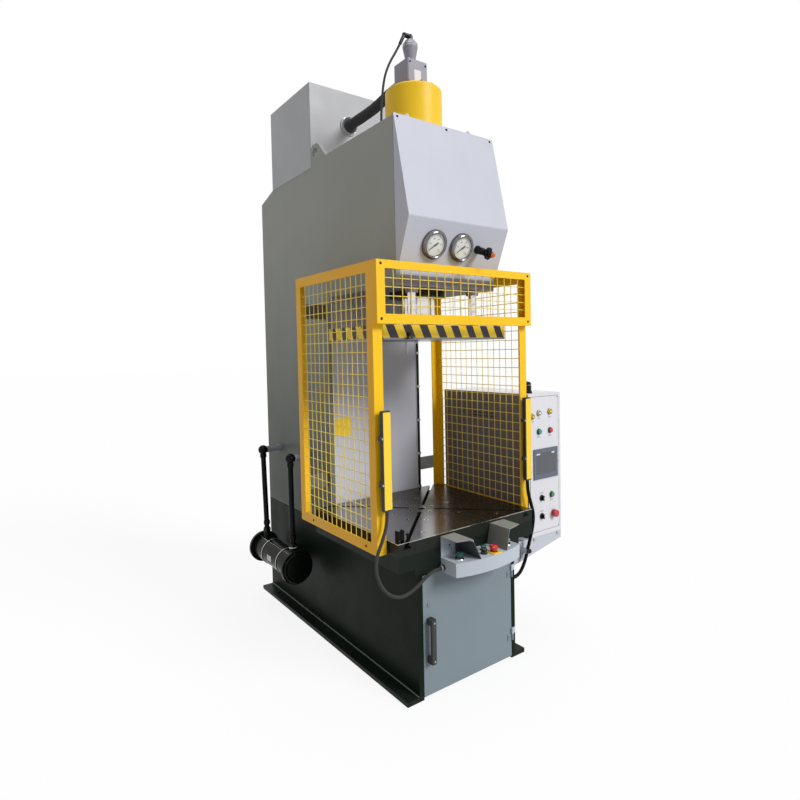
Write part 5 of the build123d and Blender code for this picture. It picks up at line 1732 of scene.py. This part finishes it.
@dataclass
class Cabinet:
    """Control cabinet: panel seam, controls, screen, door furniture and gusset."""

    x0: float = 520.0
    x1: float = 792.0
    y0: float = -302.0
    y1: float = 398.0
    z1: float = 1368.0
    face: float = -303.0
    lamps: dict[str, Spot] = field(
        default_factory=lambda: {"white": (609.0, 1259.0), "yellow": (702.0, 1261.0), "amber": (553.0, 1242.0)}
    )
    buttons: tuple[Spot, ...] = (
        (609.0, 1154.0), (704.0, 1154.0), (712.0, 784.0), (626.0, 777.0), (626.0, 673.0),
    )
    legends: tuple[Spot, ...] = ((609, 1229), (702, 1231), (553, 1213), (609, 1124), (704, 1124), (712, 754))
    wide_legends: tuple[Spot, ...] = ((626, 806), (626, 702))

    def panel(self) -> None:
        """Legend plates, screen and corner screws."""
        blank = fronts(plate(26, 9, 0.8, 1), self.face, self.legends)
        blank += fronts(plate(30, 10, 0.8, 1), self.face, self.wide_legends)
        piece("legend_plates", join(blank), SILVER_PLATE)
        ring = lathe([(23, 0), (23, 1.6), (18, 1.8)], 40).facing((727, self.face - 3.9, 674), -Y)
        piece("cabinet_stop_disc", ring, ZINC)
        glass = plate(170, 118, 0.6, 1).facing((662, self.face - 5.0, 973), -Y)
        piece("screen_glass", glass, SCREEN)
        dress(BEZEL_GREY, "touch_screen")
        corner = fronts(pan_screw(3.0, 1.6), self.face, grid((541, 771), (598, 970, 1342)))
        piece("panel_corner_screws", join(corner), BLACK_OXIDE)
        outer, inner = np.array(rounded(246, 762, 3)), np.array(rounded(243, 759, 2))
        loops = ((outer, 0.1), (inner, 0.1), (inner, 0.5), (outer, 0.5))
        rows = [np.column_stack([loop, np.full(len(loop), lift)]) for loop, lift in loops]
        seam = lattice(np.stack(rows), wrap_u=True, wrap_v=True).facing((656, self.face, 970), -Y)
        piece("panel_seam", seam, SEAM)

    def controls(self) -> None:
        """Lamps, buttons and knobs in their colours, with chromed rings."""
        finishes = {"white": WHITE_LENS, "yellow": YELLOW_LENS, "amber": AMBER}
        lens = lathe([(15.6, 0), (15.6, 3.6), (14.6, 5.6), (11.0, 7.0), (5.0, 7.8), (0.6, 8.0)], 32)
        dress(BLACK_PLASTIC, "indicator_lamps")
        for name, (x, z) in self.lamps.items():
            piece(f"lamp_{name}", lens.facing((x, self.face - 3.6, z), -Y), finishes[name])
        ring = lathe([(17.6, 0), (17.6, 2.4), (16.7, 3.4)], 36)
        rings = fronts(ring, self.face, (*self.lamps.values(), *self.buttons))
        piece("cabinet_rings", join(rings), BLACK_GLOSS)
        dress(TEAL, "button_teal")
        dress(RED, "button_red", "cabinet_estop")
        dress(GREEN, "button_green")
        dress(BLACK_GLOSS, "selector_upper", "selector_lower")
        for label, (x, z) in zip(("selector_upper", "selector_lower"), self.buttons[-2:]):
            mark = plate(1.8, 17, 0.5, 0.3).facing((x, self.face - 20, z), -Y)
            piece(f"{label}_mark", mark, WHITE_PLASTIC, body=label)

    def shell(self) -> None:
        """Powder coat, black cable elbow on the roof, hinge pins, vents and gusset bolts."""
        dress(CABINET_WHITE, "cabinet_shell", "cabinet_panel", "cabinet_door")
        dress(GUSSET_GREY, "cabinet_gusset")
        nut = lathe([(17.6, 0), (17.6, 13.4), (16.6, 14.6)], 32) + prism(polygon(6, 19.5), 9, 1)
        riser = lathe([(14.5, 14), (14.5, 30), (15.4, 31), (15.4, 36), (14.5, 37), (14.5, 46)], 32)
        ball_h = np.linspace(-0.9, 1.45, 14)
        ball = lathe([(14.6 * math.cos(t), 52 + 14.6 * math.sin(t)) for t in ball_h], 32)
        arm = lathe([(11.5, 6), (11.5, 26), (13.0, 27), (13.0, 32.6), (11.0, 33)], 28)
        at = (590.0, -250.0, self.z1)
        elbow = (nut + riser + ball).moved(*at) + arm.facing((590, -250, self.z1 + 52), (0.35, 0.85, 0.1))
        piece("roof_elbow", elbow, BLACK_GLOSS)
        ys = [-40 + 34 * k for k in range(6)]
        slots = [slab((self.x0 - 1.2, y, 1240), (self.x0, y + 24, 1246), 1, 0.4) for y in ys]
        slots += [s.moved(0, 0, -18) for s in slots] + [s.moved(0, 0, -36) for s in slots]
        piece("cabinet_louvres", join(slots), SEAM)
        bolts = fronts(hex_bolt(8, 6), self.y0, ((345, 470), (345, 540), (560, 552), (760, 552)))
        piece("gusset_bolts", join(bolts), ZINC)
        skin = self.x1 + 4.3
        lock = lathe([(13, 0), (13, 3), (11.5, 4.5), (6, 4.5), (5.6, 2.5)], 28)
        cap = lathe([(6.8, 0), (6.8, 2.0), (5.8, 3.0)], 20)
        pins = [cap.moved(skin, self.y1 + 12, z) for z in (1300.4, 730.4)]
        piece("door_lock", lock.facing((skin, self.y0 + 51, 860), X), ZINC, body="cabinet_door")
        piece("hinge_caps", join(pins), ZINC)

    def build(self) -> None:
        """Builds all of it."""
        self.panel()
        self.controls()
        self.shell()


@dataclass
class Cooler:
    """Oil cooler on the left side with its bands, bolts, pipes and ferrules."""

    x: float = -450.0
    z: float = 365.0
    y0: float = 598.0
    y1: float = 1128.0
    bend_z: float = 1000.0
    pipes: tuple[Spot, ...] = ((676.0, 668.0), (1082.0, 1052.0))

    def build(self) -> None:
        """Builds bands, cover bolts, ferrules and pipe joints."""
        dress(COOLER_BLACK, "oil_cooler")
        dress(PIPE_BLACK, "cooler_pipes")
        # A pale rod along the top of the shell is a painted highlight line.
        lean = math.radians(112)
        at = np.array([[self.x + 76.4 * math.cos(lean), self.y0 + 20, self.z + 76.4 * math.sin(lean)]])
        piece("cooler_highlight_line", rods(at, at + [[0, 488, 0]], 0.9, 6), ZINC)
        band = lathe([(79.2, 0), (80.2, 1), (80.2, 5), (79.2, 6)], 48)
        piece("cooler_bands", join([band.facing((self.x, y + 6, self.z), -Y) for y in (748, 960)]), ZINC)
        bolt = hex_bolt(6, 5)
        near = ring_of(bolt, 8, 88.5, 0.2).facing((self.x, self.y0 + 14, self.z), -Y)
        far = ring_of(bolt, 8, 88.5, 0.2).facing((self.x, self.y1 - 14, self.z), Y)
        piece("cooler_bolts", near + far, BLACK_OXIDE)
        cover = lathe([(70, 0), (70, 1.0), (66, 2.0)], 48)
        covers = cover.facing((self.x, self.y0 + 0.4, self.z), -Y)
        piece("cooler_cover", covers, COOLER_BLACK)
        ferrule = lathe([(24, 0), (24, 5), (22.5, 6.5)], 36)
        piece("cooler_ferrule", ferrule.moved(self.x, 668, 470), WHITE_PLASTIC)
        nuts = [prism(polygon(6, 25), 16, 1.5).moved(self.x, y, 478) for y in (668, 1052)]
        piece("cooler_nuts", join(nuts), BLACK_OXIDE)
        joints, nut = [], prism(polygon(6, 26), 14, 1.5)
        cuff = lathe([(19.5, 0), (20.5, 2), (20.5, 20), (18, 26)], 32)
        for y_top, y_port in self.pipes:
            drop = unit(np.array([0, y_port - y_top, 495 - self.bend_z]))
            joints.append(cuff.facing(np.array([self.x, y_top, self.bend_z]) + drop * 26, drop))
            joints.append(cuff.facing((self.x + 26, y_top, self.bend_z), X))
            joints.append(cuff.facing((self.x, y_port, 520), Z))
            joints.append(nut.facing((-346, y_top, self.bend_z), X))
        piece("pipe_cuffs", join(joints), PIPE_BLACK)
        piece("cooler_plate", plate(60, 34, 0.8, 2).facing((self.x - 76.2, 850, self.z + 6), -X), BARE_PLATE)


@dataclass
class PedestalDoor:
    """Door in the pedestal with its handle, latch and hinge screws."""

    front: float = -372.0
    lock_x: float = -258.0

    def build(self) -> None:
        """Builds the latch and screws on the door."""
        dress(SHADED_DOOR_GREY, "front_door")
        dress(BLACK_PLASTIC, "door_handle")
        disc = lathe([(11, 0), (11, 2.5), (9.5, 4), (5, 4), (4.6, 2)], 28)
        latch = disc.facing((self.lock_x, self.front, 440), -Y)
        hinge = fronts(socket_bolt(3.4, 2), self.front - 3, grid((270, 284), (115, 450)))
        piece("door_latch", latch + join(hinge), SHADED_DOOR_GREY, body="front_door")
        screws = fronts(socket_bolt(4.5, 2.6), self.front - 40, grid((self.lock_x,), (186, 366)))
        piece("handle_screws", join(screws), ZINC, body="front_door")


@dataclass
class PumpSet:
    """Motor with cooling fins, fan cover, terminal box, coupling and pump on its bed."""

    z: float = 210.0

    def build(self) -> None:
        """Builds the whole set in the place of its plain solid."""
        bed = slab((-140, -180, 22), (140, 330, 42), 6, 2)
        stand = slab((-90, 40, 42), (90, 260, 120), 6, 1)
        a = circle(120)
        fin = np.where(np.arange(120) % 3 == 0, 125.0, 113.0)
        section = list(zip((fin * np.cos(a)).tolist(), (fin * np.sin(a)).tolist()))
        barrel = prism(section, 230).facing((0, 262, self.z), -Y)
        cover = lathe([(118, 0), (121, 3), (121, 24), (112, 30)], 60)
        ends = [cover.facing((0, y, self.z), -Y) for y in (320, 34)]
        bell = lathe([(90, 0), (90, 46), (70, 60)], 48).facing((0, 6, self.z), -Y)
        pump = slab((-60, -170, 150), (60, -56, 270), 14, 3)
        port = lathe([(22, 0), (22, 8), (17, 10)], 28).moved(0, -112, 266)
        feet = upright(hex_bolt(10, 7), 42, grid((-120, 120), (-150, 300)))
        box = slab((-48, 110, 318), (48, 220, 334), 4, 2)
        piece("pump_set", join([bed, stand, barrel, *ends, bell, box]), MOTOR_BLUE, replaces=["pump_motor"])
        piece("pump_body", pump + port, VALVE_GREY)
        piece("pump_set_bolts", join(feet), ZINC)


@dataclass
class Studio:
    """Pale floor, soft lamps and the camera at the photograph's place."""

    eye: tuple[float, float, float] = (-1.8705, -2.3961, 1.620)
    yaw: float = 36.08
    pitch: float = -2.04
    roll: float = 1.18
    focal_px: float = 564.63
    centre_y: float = 371.45
    white: float = 0.88

    def camera(self) -> None:
        """Places the camera from its yaw, pitch and roll."""
        yaw, pitch, roll = (math.radians(v) for v in (self.yaw, self.pitch, self.roll))
        ahead = Vector((math.sin(yaw) * math.cos(pitch), math.cos(yaw) * math.cos(pitch), math.sin(pitch)))
        right = Vector((math.cos(yaw), -math.sin(yaw), 0))
        up = right.cross(ahead)
        across = right * math.cos(roll) - up * math.sin(roll)
        top = right * math.sin(roll) + up * math.cos(roll)
        data = bpy.data.cameras.new("camera")
        data.sensor_width = 36
        data.lens = self.focal_px * 36 / 800
        data.shift_y = -(400 - self.centre_y) / 800
        data.clip_end = 200
        made = bpy.data.objects.new("camera", data)
        turn = Matrix((across, top, -ahead)).transposed().to_4x4()
        made.matrix_world = Matrix.Translation(self.eye) @ turn
        bpy.context.scene.collection.objects.link(made)
        bpy.context.scene.camera = made

    def sun(self, name: str, towards: Sequence[float], strength: float, angle: float) -> None:
        """Adds a soft distant lamp that lies in a direction.

        Args:
            name: the lamp's name.
            towards: direction from the machine to the lamp.
            strength: its power.
            angle: how wide it looks, in degrees.
        """
        data = bpy.data.lights.new(name, "SUN")
        data.energy = strength
        data.angle = math.radians(angle)
        made = bpy.data.objects.new(name, data)
        made.rotation_euler = Vector(towards).to_track_quat("Z", "Y").to_euler()
        bpy.context.scene.collection.objects.link(made)

    def seen(self, tree: bpy.types.NodeTree) -> bpy.types.NodeSocket:
        """1 for rays from the camera, from mirrors and through glass, 0 for rays that only carry light.

        Args:
            tree: the node tree it is added to.

        Returns:
            The last node's output.
        """
        path = tree.nodes.new("ShaderNodeLightPath")
        last = path.outputs["Is Camera Ray"]
        for name in ("Is Transmission Ray", "Is Glossy Ray"):
            most = tree.nodes.new("ShaderNodeMath")
            most.operation = "MAXIMUM"
            tree.links.new(last, most.inputs[0])
            tree.links.new(path.outputs[name], most.inputs[1])
            last = most.outputs[0]
        return last

    def world(self, level: float) -> None:
        """A plain sky: white to the camera, to mirrors and through glass, dimmer as light.

        Args:
            level: the sky's strength as a source of light.
        """
        world = bpy.data.worlds.new("studio")
        world.use_nodes = True
        tree = world.node_tree
        tree.nodes.clear()
        strength = tree.nodes.new("ShaderNodeMapRange")
        tree.links.new(self.seen(tree), strength.inputs[0])
        strength.inputs[3].default_value = level
        strength.inputs[4].default_value = 1.0
        sky = tree.nodes.new("ShaderNodeBackground")
        sky.inputs[0].default_value = (1, 1, 1, 1)
        tree.links.new(strength.outputs[0], sky.inputs[1])
        out = tree.nodes.new("ShaderNodeOutputWorld")
        tree.links.new(sky.outputs[0], out.inputs[0])
        bpy.context.scene.world = world

    def floor(self) -> None:
        """A wide floor, white where it is seen and grey as a source of light, that keeps the shadow."""
        size = 60.0
        mesh = bpy.data.meshes.new("studio_floor")
        corners = [(-size, -size, 0), (size, -size, 0), (size, size, 0), (-size, size, 0)]
        mesh.from_pydata(corners, [], [(0, 1, 2, 3)])
        graph = Graph("floor_white")
        seen = Field(graph, self.seen(graph.tree))
        colour = graph.mix(seen, (0.5, 0.5, 0.5, 1.0), (0.96, 0.96, 0.96, 1.0))
        dull = graph.field("ShaderNodeBsdfDiffuse", None, {"Color": colour})
        glow = graph.field("ShaderNodeEmission", None, {"Color": (1.0, 1.0, 1.0, 1.0), "Strength": 1.0})
        both = graph.field("ShaderNodeMixShader", None, {0: seen * self.white, 1: dull, 2: glow})
        graph.node("ShaderNodeOutputMaterial", None, {"Surface": both})
        mesh.materials.append(graph.material)
        made = bpy.data.objects.new("studio_floor", mesh)
        bpy.context.scene.collection.objects.link(made)

    def build(self) -> None:
        """Sets up the lamps, the sky and the floor."""
        self.world(0.34)
        self.sun("key_sun", (0.35, -0.8, 0.55), 2.3, 25)
        self.sun("top_sun", (0.0, 0.05, 1.0), 0.8, 35)
        self.floor()
        bpy.context.scene.view_settings.view_transform = "Standard"


def main() -> None:
    """Builds every sub-assembly in order and reports each."""
    logging.basicConfig(level=logging.INFO, format="%(name)s %(message)s")
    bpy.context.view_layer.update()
    studio = Studio()
    studio.camera()
    parts = [
        LightCurtains(), Hydraulics(), WeldedFrame(), Hood(), Gauges(), Ram(), Table(), Guard(), Console(),
        Cabinet(), Cooler(), PedestalDoor(), PumpSet(),
    ]
    for part in parts:
        before = len(bpy.data.objects)
        part.build()
        log.info("%s: %d new pieces", type(part).__name__, len(bpy.data.objects) - before)
    studio.build()


if __name__ == "__main__":
    main()
